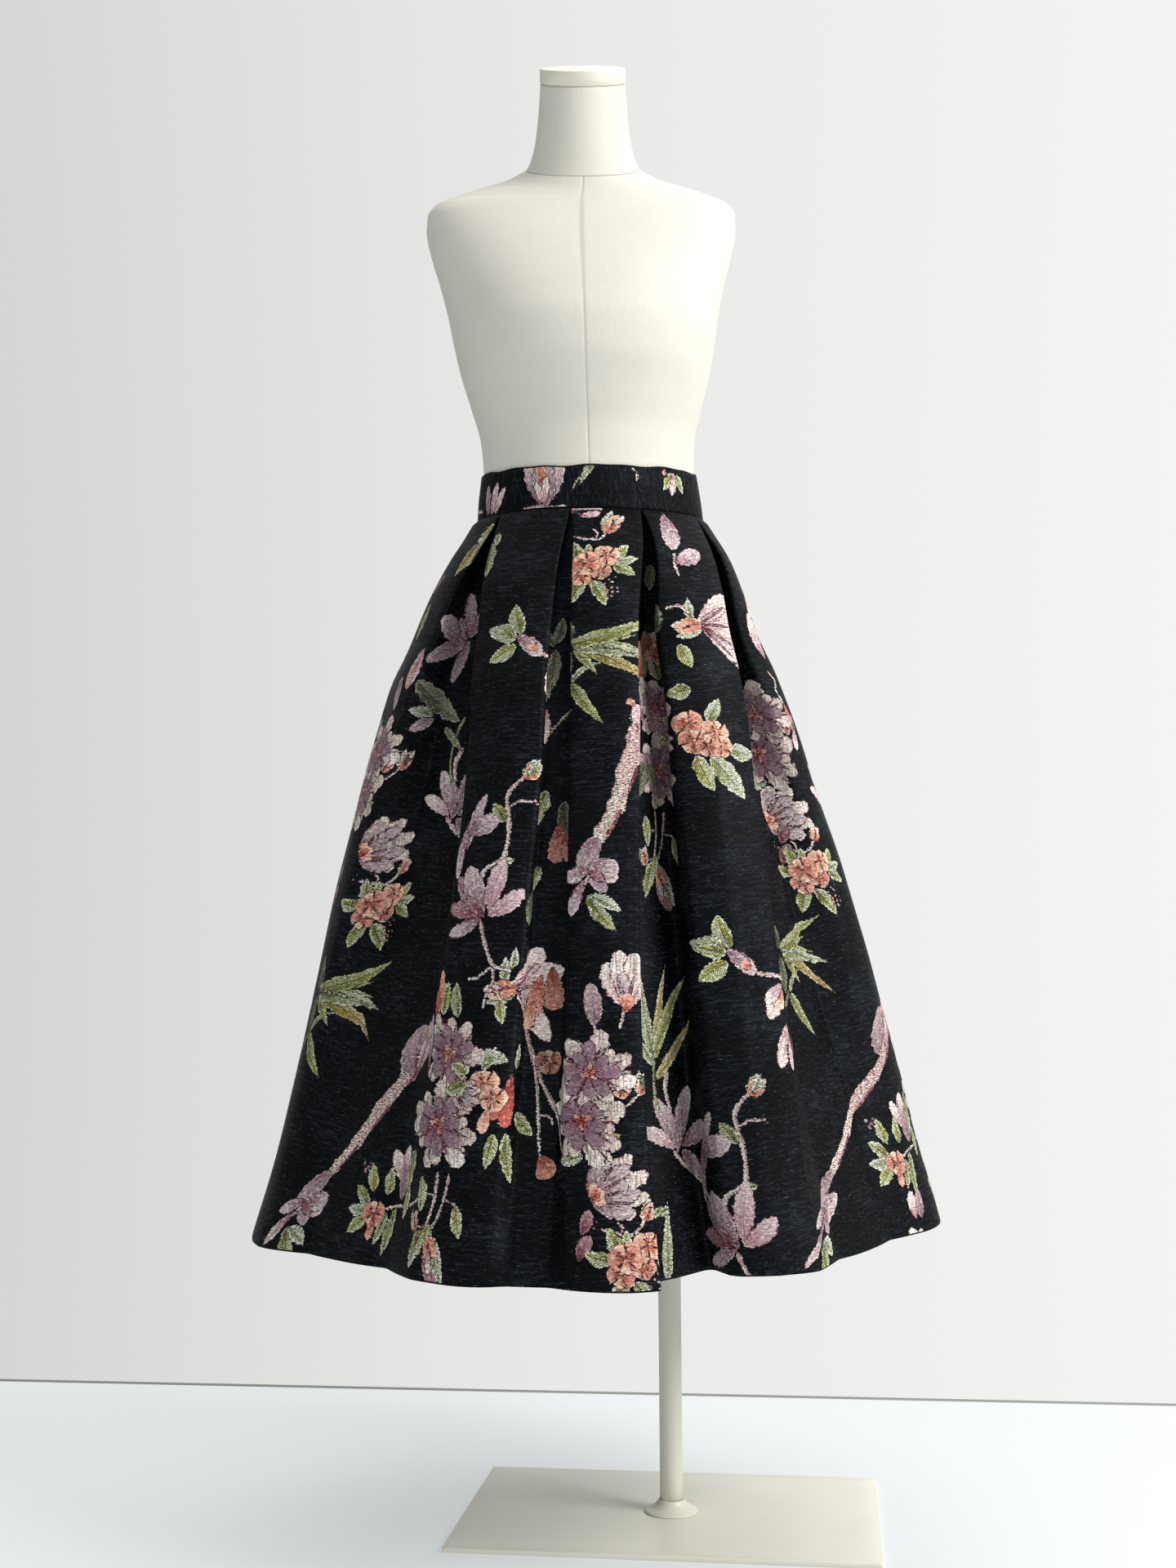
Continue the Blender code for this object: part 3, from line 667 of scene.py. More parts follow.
def crease(cloth, rows, phase, facing):
    """Soft troughs and ridges, and a slow unevenness. Layers over each other move together."""
    around = np.empty((cloth.rows, cloth.across))
    outward = np.zeros_like(cloth.grid)
    for i, share in enumerate(row_shares()):
        ring = ring_at(share)
        x, y = cloth.grid[i, :, 0] - ring.across, cloth.grid[i, :, 1]
        turn = np.mod(np.arctan2(x / ring.half[0], -y / ring.half[1]), 2.0 * math.pi)
        run = np.interp(turn, ring.turn, ring.run) - facing * ring.total
        around[i] = np.mod(run + ring.total / 2.0, ring.total) - ring.total / 2.0
        outward[i, :, 0] = x / ring.half[0] ** 2
        outward[i, :, 1] = y / ring.half[1] ** 2
    outward = unit(outward)
    down = cloth.fall[:, None] + np.zeros_like(around)
    amount = np.zeros_like(around)
    for middle, at, length, width, depth, lean in rows:
        slope = math.tan(math.radians(lean))
        side = (around - middle - slope * (down - at)) / width
        along = (down - at) / (length / 2.0)
        amount += depth * np.exp(-(side**2)) * np.exp(-(along**2) * 1.4)
    slow = sum(h * np.sin(around * a + down * d + p * phase) for h, a, d, p in SLOW_WAVES)
    amount += slow * smooth_rise(down, 0.02, 0.14)
    # The faces turn in under the band.
    amount -= TOP_ROLL_DEEP * np.clip(1.0 - down / TOP_ROLL, 0.0, 1.0) ** 2
    cloth.move(outward, amount)


def band_cloth(start, end, steps):
    """The middle of the waistband's wall between two turns round from the front."""
    slit = GAP / 2.0 / BAND_SEAM_HALF[1]
    turn = np.linspace(start + slit, end - slit, steps + 1)
    rows = []
    for share in np.linspace(0.0, 1.0, BAND_ROWS):
        inset = BAND_THICK / 2.0
        wide = BAND_TOP_HALF[0] + (BAND_SEAM_HALF[0] - BAND_TOP_HALF[0]) * share - inset
        deep = BAND_TOP_HALF[1] + (BAND_SEAM_HALF[1] - BAND_TOP_HALF[1]) * share - inset
        across = BAND_ACROSS[1] + (BAND_ACROSS[0] - BAND_ACROSS[1]) * share
        x, y = wide * np.sin(turn), -deep * np.cos(turn)
        wave = 0.0007 * np.sin(turn * 9.0 + 0.6) + 0.0005 * np.sin(turn * 17.0 + 2.0)
        swell = 0.0006 * math.sin(math.pi * share) + 0.0005 * np.sin(turn * 13.0) * share
        top = BAND_TOP_Z + BAND_TOP_TILT * y - BAND_THICK / 2.0 + wave * (1.0 - share)
        seam = SEAM_Z + GAP + CLOTH_THICK / 2.0 + SEAM_TILT * y + BAND_THICK / 2.0
        x = x * (1.0 + swell / wide)
        y = y * (1.0 + swell / deep)
        rows.append(np.column_stack([x + across, y, top + (seam - top) * share]))
    return np.array(rows)


# ---------------- form and stand


def form_section(row, turn):
    """One section of the dress form, tilted towards the front about its own middle."""
    z, half_wide, half_deep, across, forward, tilt, square = row
    power = 2.0 / square
    x = half_wide * np.sign(np.sin(turn)) * np.abs(np.sin(turn)) ** power
    y = -half_deep * np.sign(np.cos(turn)) * np.abs(np.cos(turn)) ** power
    lean = math.radians(tilt)
    return np.column_stack([x + across, y * math.cos(lean) + forward, z + y * math.sin(lean)])


def lifted(row, distance, grow=0.0):
    """A section moved along its own tilted axis, and made larger or smaller."""
    z, half_wide, half_deep, across, forward, tilt, square = row
    lean = math.radians(tilt)
    return (
        z + distance * math.cos(lean),
        half_wide + grow,
        half_deep + grow,
        across,
        forward - distance * math.sin(lean),
        tilt,
        square,
    )


def finer(rows, count):
    """Rows and smooth ones between them, by their number."""
    index = np.arange(len(rows), dtype=float)
    where = np.linspace(0.0, len(rows) - 1.0, count)
    values = [curve_through(where, index, [row[i] for row in rows]) for i in range(7)]
    return list(zip(*values))


def seam_turns(seams, radius, count=150):
    """Turns round a section, closer together at each seam."""
    near = np.array([0.0, 0.0004, 0.0009, 0.0016, 0.0030]) / radius
    near = np.concatenate([-near[:0:-1], near])
    even = np.linspace(0.0, 2.0 * math.pi, count, endpoint=False)
    for seam in seams:
        even = even[turn_between(even, seam) > near[-1] * 1.2]
    turns = np.concatenate([even, *[(seam + near) % (2.0 * math.pi) for seam in seams]])
    return np.sort(turns)


def turn_between(turn, other):
    return np.abs((turn - other + math.pi) % (2.0 * math.pi) - math.pi)


def skin(name, rings, materials, is_tube=False, vectors=None):
    """A closed skin through rings of points, highest first; a tube's last ring meets its first."""
    count, across = len(rings), len(rings[0])
    faces = grid_faces(count, across, closed_round=True, closed_down=is_tube).tolist()
    if not is_tube:
        faces += [list(range(across)), list(range((count - 1) * across, count * across))[::-1]]
    return new_piece(name, np.concatenate(rings), faces, materials, None, vectors)


def loft(name, rows, turn, materials, seams=()):
    """A skin through sections, lowest first, with grooves where its panels join."""
    sections = np.array([form_section(row, turn) for row in rows])
    out = sections - sections.mean(axis=1, keepdims=True)
    out[:, :, 2] = 0.0
    size = np.linalg.norm(out, axis=2, keepdims=True)
    seam = np.zeros(sections.shape[:2])
    for angle in seams:
        gap = turn_between(turn, angle)[None, :] * size[:, :, 0]
        seam = np.maximum(seam, np.exp(-((gap / SEAM_WIDE) ** 2)))
    sections = sections - out / size * (seam * SEAM_DEEP)[:, :, None]
    marks = np.zeros((seam.size, 3))
    marks[:, 0] = seam[::-1].ravel()
    piece = skin(name, sections[::-1], materials, vectors={"marks": marks})
    for polygon in piece.data.polygons[-2:]:
        polygon.use_smooth = False
    return piece


def lathe(name, profile, steps, materials, is_tube=True):
    """A profile of (radius, height), highest first, turned about the pole's axis."""
    turn = np.linspace(0.0, 2.0 * math.pi, steps, endpoint=False)
    flat = np.column_stack([np.cos(turn), np.sin(turn), np.ones(steps)])
    return skin(name, [flat * (radius, radius, z) for radius, z in profile], materials, is_tube)


def rounded_plate(name, materials):
    """The base plate, with small round edges and corners."""
    turned = math.radians(BASE_TURN_DEG)
    spin = np.array([[math.cos(turned), math.sin(turned)], [-math.sin(turned), math.cos(turned)]])
    soft = BASE_EDGE * 0.3
    profile = [(0.02, BASE_THICK), (BASE_EDGE, BASE_THICK), (soft, BASE_THICK - soft)]
    profile += [(0.0, BASE_THICK - BASE_EDGE), (0.0, BASE_EDGE), (soft, soft), (BASE_EDGE, 0.0)]
    rings = []
    for inset, z in profile:
        ring = []
        radius = max(BASE_CORNER - inset, 0.0004)
        for sx, sy, start in ((1, 1, 0), (-1, 1, 90), (-1, -1, 180), (1, -1, 270)):
            for angle in np.radians(start + np.linspace(0.0, 90.0, 7)):
                x = sx * (BASE_LONG / 2 - inset - radius) + radius * math.cos(angle)
                y = sy * (BASE_DEEP / 2 - inset - radius) + radius * math.sin(angle)
                ring.append((*((x, y) @ spin), z))
        rings.append(ring)
    return skin(name, rings, materials)


# ---------------- materials


class Graph:
    """A node tree, built in short calls."""

    def __init__(self, tree):
        self.tree = tree

    def add(self, kind, values=None, **settings):
        node = self.tree.nodes.new("ShaderNode" + kind)
        for key, value in settings.items():
            setattr(node, key, value)
        for key, value in (values or {}).items():
            self.give(node.inputs[key], value)
        return node

    def give(self, socket, value):
        if isinstance(value, bpy.types.NodeSocket):
            self.tree.links.new(value, socket)
        else:
            socket.default_value = value

    def calc(self, operation, *values):
        return self.add("Math", dict(enumerate(values)), operation=operation).outputs[0]

    def times(self, a, b):
        return self.calc("MULTIPLY", a, b)

    def times_plus(self, value, by, plus):
        return self.calc("MULTIPLY_ADD", value, by, plus)

    def shaken(self, value, noise, by):
        """A value moved up and down by a noise, about the noise's middle."""
        return self.times_plus(self.calc("SUBTRACT", noise, 0.5), by, value)

    def mix(self, share, a, b, blend="MIX"):
        a, b = [(*value, 1.0) if isinstance(value, tuple) else value for value in (a, b)]
        node = self.add("Mix", {0: share, 6: a, 7: b}, data_type="RGBA", blend_type=blend)
        return node.outputs[2]

    def rise(self, value, low, high, start=0.0, end=1.0):
        """A smooth step of a value from start to end between low and high."""
        values = {"Value": value, "From Min": low, "From Max": high, "To Min": start, "To Max": end}
        return self.add("MapRange", values, interpolation_type="SMOOTHSTEP").outputs["Result"]

    def noise(self, place, scale, detail=2.0, rough=0.5, warp=0.0):
        """Noise over a place, with its own scale along each axis."""
        place = self.add("VectorMath", {0: place, 1: scale}, operation="MULTIPLY").outputs[0]
        values = {"Vector": place, "Scale": 1.0, "Detail": detail, "Roughness": rough}
        return self.add("TexNoise", {**values, "Distortion": warp}).outputs["Fac"]

    def attribute(self, name, output="Vector"):
        return self.add("Attribute", attribute_name=name).outputs[output]

    def parts(self, vector):
        return self.add("SeparateXYZ", {0: vector}).outputs

    def place(self, output="Object"):
        return self.add("TexCoord").outputs[output]


class Finish(Graph):
    """A material. fixed: the shader's own values, by their names with _ for spaces."""

    def __init__(self, name, **fixed):
        self.material = bpy.data.materials.new(name)
        self.material.use_nodes = True
        super().__init__(self.material.node_tree)
        self.shader = self.tree.nodes["Principled BSDF"]
        for key, value in fixed.items():
            self.shader.inputs[key.replace("_", " ")].default_value = value

    def start(self, share, a, b):
        """The first colours, which lay() then covers."""
        self.colour = self.mix(share, a, b)

    def lay(self, share, colour):
        self.colour = self.mix(share, self.colour, colour)

    def multiply(self, colour):
        self.colour = self.mix(1.0, self.colour, colour, "MULTIPLY")

    def bump(self, height, distance, strength):
        values = {"Height": height, "Distance": distance, "Strength": strength}
        self.give(self.shader.inputs["Normal"], self.add("Bump", values).outputs["Normal"])

    def done(self, roughness):
        self.give(self.shader.inputs["Base Color"], self.colour)
        self.give(self.shader.inputs["Roughness"], roughness)
        return self.material


def ground_weave(graph, cloth):
    """The dark chenille ground: its colour and the height of its yarns."""
    dark, middle, light = GROUND
    yarn = graph.noise(cloth, (170.0, 760.0, 1.0), rough=0.65)
    slub = graph.noise(cloth, (48.0, 380.0, 1.0), rough=0.6)
    patch = graph.noise(cloth, (14.0, 22.0, 1.0))
    blend = graph.times_plus(yarn, 0.50, graph.times(slub, 0.50))
    blend = graph.times_plus(patch, 0.24, graph.calc("SUBTRACT", blend, 0.12))
    colour = graph.mix(graph.rise(blend, 0.49, 0.66), dark, middle)
    fleck = graph.noise(cloth, (130.0, 1100.0, 3.0), 1.0)
    colour = graph.mix(graph.rise(fleck, 0.68, 0.78, 0.0, 0.9), colour, light)
    rib = graph.calc("SINE", graph.times(graph.parts(cloth)[1], 2 * math.pi / RIB_PITCH))
    return colour, graph.times_plus(rib, 0.12, blend)


def jacquard(name):
    """The skirt's dark ground, with the broad shine of yarns that run round the cloth."""
    graph = Finish(
        name,
        Specular_Tint=(0.80, 0.88, 1.0, 1.0),
        Specular_IOR_Level=0.12,
        Anisotropic=0.5,
        Anisotropic_Rotation=0.25,
    )
    tangent = graph.add("Tangent", direction_type="RADIAL", axis="Z")
    graph.give(graph.shader.inputs["Tangent"], tangent.outputs[0])
    graph.colour, height = ground_weave(graph, graph.attribute("cloth"))
    graph.bump(height, 0.0007, 0.85)
    return graph.done(graph.rise(height, 0.35, 0.65, 0.72, 0.54))


def jacquard_back(name):
    """The cloth's reverse, where the coloured wefts float."""
    sheen = {"Sheen_Weight": 0.12, "Sheen_Roughness": 0.5, "Sheen_Tint": (0.75, 0.76, 0.80, 1.0)}
    graph = Finish(name, Specular_IOR_Level=0.25, **sheen)
    cloth = graph.attribute("cloth")
    yarn = graph.noise(cloth, (190.0, 1000.0, 1.0), rough=0.6)
    floats = graph.noise(cloth, (13.0, 16.0, 1.0), rough=0.6)
    graph.start(graph.rise(yarn, 0.35, 0.65), (0.010, 0.011, 0.014), (0.045, 0.048, 0.054))
    tinted = graph.mix(graph.rise(yarn, 0.40, 0.60), (0.060, 0.045, 0.048), (0.17, 0.13, 0.12))
    graph.lay(graph.rise(floats, 0.54, 0.64, 0.0, 0.8), tinted)
    graph.bump(yarn, 0.0006, 0.8)
    return graph.done(graph.rise(yarn, 0.3, 0.7, 0.95, 0.80))


def form_cloth(name, base, shade, pitch, depth):
    """Close-woven cotton drawn over the form, with its seams a little darker."""
    graph = Finish(name, Sheen_Weight=0.10, Sheen_Roughness=0.4, Specular_IOR_Level=0.30)
    place = graph.place()
    grain = graph.noise(place, (pitch, pitch, pitch * 0.62), rough=0.65)
    slub = graph.noise(place, (pitch * 0.3, pitch * 0.3, pitch * 0.16), 1.0)
    cloud = graph.noise(place, (6.0, 6.0, 5.0), 3.0)
    graph.start(graph.rise(cloud, 0.35, 0.68), base, shade)
    graph.lay(graph.rise(grain, 0.35, 0.70, 0.22, 0.0), tuple(0.80 * v for v in shade))
    seam = graph.parts(graph.attribute("marks"))[0]
    graph.lay(graph.times(seam, 0.45), tuple(0.55 * v for v in base))
    graph.bump(graph.times_plus(slub, 0.5, grain), depth, 0.8)
    return graph.done(graph.rise(grain, 0.3, 0.7, 0.90, 0.78))


def cream_paint(name):
    """Semi-gloss cream paint on steel, with faint dust, orange peel and rubbed patches."""
    graph = Finish(name, Coat_Weight=0.25, Coat_Roughness=0.28, Specular_IOR_Level=0.42)
    place = graph.place()
    peel = graph.noise(place, (420.0,) * 3)
    cloud = graph.noise(place, (9.0,) * 3, 3.0, 0.55)
    dust = graph.noise(place, (900.0,) * 3, 1.0)
    scuff = graph.noise(place, (30.0, 190.0, 60.0), 3.0, 0.65, 0.6)
    graph.start(graph.rise(cloud, 0.3, 0.7), (0.79, 0.775, 0.665), (0.84, 0.825, 0.72))
    graph.lay(graph.rise(dust, 0.70, 0.80, 0.0, 0.35), (0.84, 0.83, 0.78))
    graph.lay(graph.rise(scuff, 0.70, 0.82, 0.0, 0.30), (0.58, 0.56, 0.47))
    graph.bump(peel, 0.00012, 0.5)
    return graph.done(graph.rise(cloud, 0.3, 0.7, 0.36, 0.50))


def cap_finish(name):
    """The neck cap's smooth lacquered board."""
    graph = Finish(name, Coat_Weight=0.05, Coat_Roughness=0.4, Specular_IOR_Level=0.35)
    place = graph.place()
    cloud = graph.noise(place, (26.0, 26.0, 60.0), 3.0)
    fine = graph.noise(place, (700.0,) * 3)
    graph.start(graph.rise(cloud, 0.3, 0.7), (0.80, 0.765, 0.655), (0.84, 0.81, 0.71))
    graph.bump(fine, 0.0001, 0.5)
    return graph.done(graph.rise(fine, 0.3, 0.7, 0.50, 0.62))


def floor_finish(name):
    # Painted light: the floor glows a little, which lifts the skirt's shadow on it and lights the
    # form and stand from below.
    glow = {"Emission_Strength": 0.34, "Emission_Color": (0.955, 0.985, 1.0, 1.0)}
    graph = Finish(name, Specular_IOR_Level=0.30, **glow)
    cloud = graph.noise(graph.place(), (1.3,) * 3)
    graph.start(graph.rise(cloud, 0.3, 0.7), (0.45, 0.465, 0.475), (0.475, 0.49, 0.50))
    return graph.done(graph.rise(cloud, 0.3, 0.7, 0.42, 0.50))


# ---------------- stage, lights and camera

# The room's light from left to right, and how it grows by direction: the axis, two places on it
# and the light there.
WALL_LIGHT = table("""
-1 0.22
-0.55 0.32
-0.38 0.64
-0.3 0.67
0 0.82
0.3 0.9
0.42 0.9
0.56 0.45
1 0.34
""")
ROOM_LIGHT = ((1, -0.15, 0.55, 0.36, 1.0), (2, 0.50, 0.88, 1.0, 3.0))
# Name, place, aim, size, power and colour.
LAMPS = (
    ("window", (3.1, -1.6, 3.0), (-0.05, 0.0, 0.9), 2.0, 165.0, (1.0, 0.985, 0.96)),
    ("fill", (-1.2, -3.6, 2.2), (-0.1, 0.0, 0.7), 2.4, 20.0, (0.95, 0.97, 1.0)),
)


def floor_pieces():
    """A pale floor that glows a little, painted light that lifts the shadows on it, as far as the
    wall's line, and a narrow grey edge along that line: painted shade where floor and wall meet.
    """
    (x0, y0), (x1, y1) = WALL_LINE
    slope = (y1 - y0) / (x1 - x0)
    left, right = [(x, y0 + slope * (x - x0)) for x in (-FLOOR_FAR, FLOOR_FAR)]
    corners = [(*at, -0.0004) for at in ((-FLOOR_FAR, -9.0), (FLOOR_FAR, -9.0), right, left)]
    floor = new_piece("floor", corners, [(0, 1, 2, 3)], [floor_finish("floor_paint_and_glow")])
    edge = [(*at, -0.0002) for at in (left, right)]
    edge += [(x, y + 0.004, 0.0022) for x, y in (right, left)]
    # Painted shade: a grey strip where floor and wall meet.
    grey = Finish("floor_line_painted_shade")
    grey.colour = (0.30, 0.30, 0.29, 1.0)
    line = new_piece("floor_line", edge, [(0, 1, 2, 3)], [grey.done(0.9)])


def room_light():
    """A soft room, brighter above and behind the skirt."""
    world = bpy.data.worlds.new("room")
    bpy.context.scene.world = world
    world.use_nodes = True
    graph = Graph(world.node_tree)
    direction = graph.parts(graph.place("Generated"))
    ramp = graph.add("ValToRGB", {0: graph.times_plus(direction[0], 0.5, 0.5)})
    points = ramp.color_ramp.elements
    while len(points) < len(WALL_LIGHT):
        points.new(0.5)
    for point, (at, value) in zip(points, WALL_LIGHT):
        point.position = at * 0.5 + 0.5
        point.color = (value, value * 1.006, value * 0.992, 1.0)
    behind, above = [graph.rise(direction[axis], *ends) for axis, *ends in ROOM_LIGHT]
    back = graph.tree.nodes["Background"]
    graph.give(back.inputs["Color"], ramp.outputs[0])
    graph.give(back.inputs["Strength"], graph.times(behind, above))


def placed(name, data):
    made = bpy.data.objects.new(name, data)
    bpy.context.scene.collection.objects.link(made)
    return made


def studio():
    """The floor, a soft room, one broad light from the right, a weak one and the camera."""
    floor_pieces()
    room_light()
    for name, place, aim, size, power, colour in LAMPS:
        light = bpy.data.lights.new(name, "AREA")
        light.shape = "SQUARE"
        light.size = size
        light.energy = power
        light.color = colour
        lamp = placed(name, light)
        lamp.location = place
        lamp.rotation_euler = (Vector(aim) - Vector(place)).to_track_quat("-Z", "Y").to_euler()

    lens = bpy.data.cameras.new("camera")
    lens.lens = CAMERA_LENS
    lens.sensor_width = 36.0
    camera = placed("camera", lens)
    camera.matrix_world = (
        Matrix.Translation(CAMERA_PLACE)
        @ Matrix.Rotation(math.pi / 2 + CAMERA_PITCH, 4, "X")
        @ Matrix.Rotation(CAMERA_ROLL, 4, "Z")
    )
    bpy.context.scene.camera = camera
    bpy.context.scene.view_settings.view_transform = "Standard"


# ---------------- woven motifs: colours and shapes

# How fast a shape's width rises from its base and falls to its tip; where its line runs across;
# the depth and count of its teeth; how much ground shows between the threads; how far upright
# ribs show near the tip; how strong the side veins and the lengthwise streaks are.
KINDS = by_row("""
leaf 0.6 0.84 0 0.15 7 0.46 0 0.9 0.15
blade 0.42 1 0 0.1 9 0.46 0 0.7 0.4
petal 0.86 0.62 0 0.09 5 0.14 0 0 0.8
broad 0.92 0.46 0 0.14 5 0.1 0.9 0 1
round 0.84 0.34 0 0.13 5 0.1 0 0 0.5
oval 0.55 0.55 0 0.06 5 0.16 0 0.3 0.6
stroke 0 0 0.5 0.1 0 0.34 0 0 0.2
slate 0.92 0.46 0 0.14 5 0.1 0.25 0 1
bough 0 0 0.5 0.1 0 0.9 0 0 0.7
rose 0 0 0.5 0.1 0 0.8 0 0 0.3
""")
# Colours at the base, at the tip, along the edge and of the fine lines, and the kind. Dusk is a
# dark grey-green leaf that stands in part for painted shade, on leaves in the pleats' shaded
# recesses.
STYLES = by_row("""
olive 124,124,44 172,174,88 224,232,200 10,12,8 leaf
lime 168,160,62 194,198,104 230,238,208 20,22,10 leaf
mint 150,158,92 206,216,182 236,244,226 18,24,14 leaf
dusk 74,76,56 104,108,84 148,152,130 12,13,9 leaf
bamboo 124,126,50 166,168,92 212,218,172 14,16,10 blade
reed 138,144,92 196,204,170 222,228,202 20,24,16 blade
gold 146,138,54 200,158,86 216,214,170 24,20,12 blade
mauve 146,118,132 202,186,190 240,230,226 120,32,56 petal
cream 198,170,178 238,226,220 248,240,232 156,52,78 petal
pale 150,124,134 232,222,210 246,236,224 150,44,84 broad
slate 116,94,108 148,126,138 182,162,166 148,42,82 slate
white 216,192,192 247,240,230 250,245,238 150,50,80 broad
pink 190,152,164 222,200,206 244,232,230 150,44,70 petal
wine 136,62,78 168,128,138 206,184,186 84,14,30 petal
coral 184,96,78 234,164,142 248,212,194 124,28,32 round
peach 222,140,108 248,204,178 252,228,208 160,54,48 round
red 150,38,42 204,96,84 232,158,136 76,10,20 round
bud 212,120,90 242,196,162 246,230,210 118,30,30 oval
plum 142,116,128 182,162,168 218,206,204 104,34,54 oval
twig 210,180,180 232,220,214 240,232,224 112,50,64 stroke
bough 214,190,184 232,220,208 244,236,226 150,44,62 bough
rose 150,60,78 176,96,108 206,156,156 104,24,40 rose
stalk 108,116,74 158,166,124 190,198,160 50,56,34 stroke
""")
SPREAD = 0.7  # how far a shape's outline reaches, in mm, before the ragged threads take it back
LIFT = 0.00012  # the lowest shape of a group lies this far off the cloth,
LIFT_STEP = 0.000008  # and each one over it this much further
PLACE_STEP = 0.000002  # neighbouring groups lie this much apart
MOTIFS_FROM = 0.0012  # the motifs begin this far under the cloth's top
MOTIFS_SHORT = 0.0004  # and end this far over its lower edge
# What each point of the motifs hands to their finish: four colours; the distances to the rim and
# the middle vein with the upright ribs' share; the distances along and across with the share of the
# length; the ground's gaps, the side veins and the streaks.
THREAD_DATA = ("base_tint", "tip_tint", "rim_tint", "line_tint", "marks", "place", "kinds")


def linear(*colour):
    """A colour given in 0-255 sRGB, as linear values."""
    value = np.asarray(colour, float) / 255.0
    return np.where(value <= 0.04045, value / 12.92, ((value + 0.055) / 1.055) ** 2.4)


def strip(middle, half, style, along, shade=0.0):
    """A leaf, petal or stroke: points across a middle line, in metres, with their THREAD_DATA."""
    *colours, kind = STYLES[style]
    _, _, line_at, tooth, teeth, gaps, upright, veins, streaks = KINDS[kind]
    run = run_of(np.linalg.norm(np.diff(middle, axis=0), axis=1))
    step = np.gradient(middle, axis=0)
    step /= np.maximum(np.linalg.norm(step, axis=1, keepdims=True), 1e-9)
    side = np.column_stack([-step[:, 1], step[:, 0]])
    across = np.unique([-1.0, 0.0, 1.0, line_at])
    count = teeth + 0.5
    wave = [1.0 + tooth * np.sin(2 * math.pi * (count * along + lag)) for lag in (0.0, 0.37)]
    wide = np.where(across[None, :] > 0, (half * wave[0])[:, None], (half * wave[1])[:, None])
    reach = across[None, :] * wide
    points = middle[:, None] + side[:, None] * reach[:, :, None]
    shape = reach.shape
    share = np.broadcast_to(along[:, None], shape)
    rim = (1.0 - np.abs(across))[None, :] * wide
    vein = np.abs(across - line_at)[None, :] * wide + 0.02 * np.clip(share - 0.84, 0.0, 1.0)
    ones = np.ones((*shape, 1))
    data = [ones * linear(*colour) * (1.0 - shade) for colour in colours]
    data.append(np.stack([rim, vein, upright * smooth_rise(share, 0.25, 0.7)], axis=2))
    data.append(np.stack([np.broadcast_to(run[:, None], shape), reach, share], axis=2))
    data.append(ones * (gaps, veins, streaks))
    quads = grid_faces(*shape)
    faces = np.concatenate([quads[:, [0, 3, 2]], quads[:, [0, 2, 1]]])
    return points.reshape(-1, 2), np.concatenate(data, axis=2).reshape(reach.size, -1), faces


def blade(style, x, y, angle, length, width, bend=0.0, shade=0.0):
    """One leaf or petal from its base, in mm and degrees."""
    rise, fall = KINDS[STYLES[style][-1]][:2]
    count = int(np.clip(length / 3.3, 5, 15)) if width > 4.0 else 6
    along = 0.5 - 0.5 * np.cos(np.linspace(0.0, math.pi, count))
    along = 0.4 * along + 0.6 * np.linspace(0.0, 1.0, count)
    heading = np.radians(angle + bend * (along - 0.5) * 2.0)
    step = np.diff(along) * length
    middle = (heading[1:] + heading[:-1]) / 2.0
    steps = np.column_stack([np.cos(middle), np.sin(middle)]) * step[:, None]
    run = run_of(steps)
    profile = (along + 0.012) ** rise * (1.0 - along + 0.004) ** fall
    half = (width / 2.0 + SPREAD) * profile / profile.max()
    return strip((run + (x, y)) / 1000.0, half / 1000.0, style, along, shade)


def stroke(style, sizes, *points):
    """A stem or twig through points, in mm. sizes: its width, or both ends' and its shade."""
    sizes = sizes if isinstance(sizes, tuple) else (sizes, sizes)
    width, end_width, shade = (*sizes, 0.0)[:3]
    points = np.asarray(points)
    index = np.arange(len(points))
    where = np.linspace(0.0, len(points) - 1.0, 4 * len(points) + 1)
    middle = np.column_stack([curve_through(where, index, points[:, k]) for k in (0, 1)])
    along = where / where[-1]
    knots = 1.0 + 0.15 * np.sin(along * 31.0) + 0.12 * np.sin(along * 67.0 + 1.0)
    half = ((width + (end_width - width) * along) / 2.0 + 0.6) * knots
    half *= np.minimum(1.0, np.minimum(along, 1.0 - along) * 16.0 + 0.25)
    return [strip(middle / 1000.0, half / 1000.0, style, along, shade)]


def ahead(angle):
    return np.array([math.cos(math.radians(angle)), math.sin(math.radians(angle))])


def blossom(style, x, y, radius, shade=0.0, turn=0.0):
    """A ruffled flower of five broad petals in two tones, parted by dark threads, with a heart."""
    shapes = []
    for i in range(5):
        size = radius * (1.04, 0.88, 1.12, 0.94, 1.0)[i]
        tone = "peach" if i in (1, 3) else style
        deep = shade + (0.0, 0.04, 0.20, 0.10, 0.07)[i]
        shapes.append(blade(tone, x, y, turn + 72 * i + 9 * (i % 2), size, size * 1.06, 6, deep))
    for i in range(5):
        away = turn + 72 * i + 38
        at = (x, y) + ahead(away) * radius * 0.22
        long = radius * (0.66, 0.4, 0.54)[i % 3]
        shapes.append(blade("red", *at, away + 8, long, radius * 0.05, 10, 0.3))
    heart = ("peach", x - radius * 0.16, y, turn + 20, radius * 0.34, radius * 0.26, 0, shade)
    shapes.append(blade(*heart))
    shapes.append(blade("red", x, y, turn + 140, radius * 0.20, radius * 0.12, 0, 0.1))
    return shapes


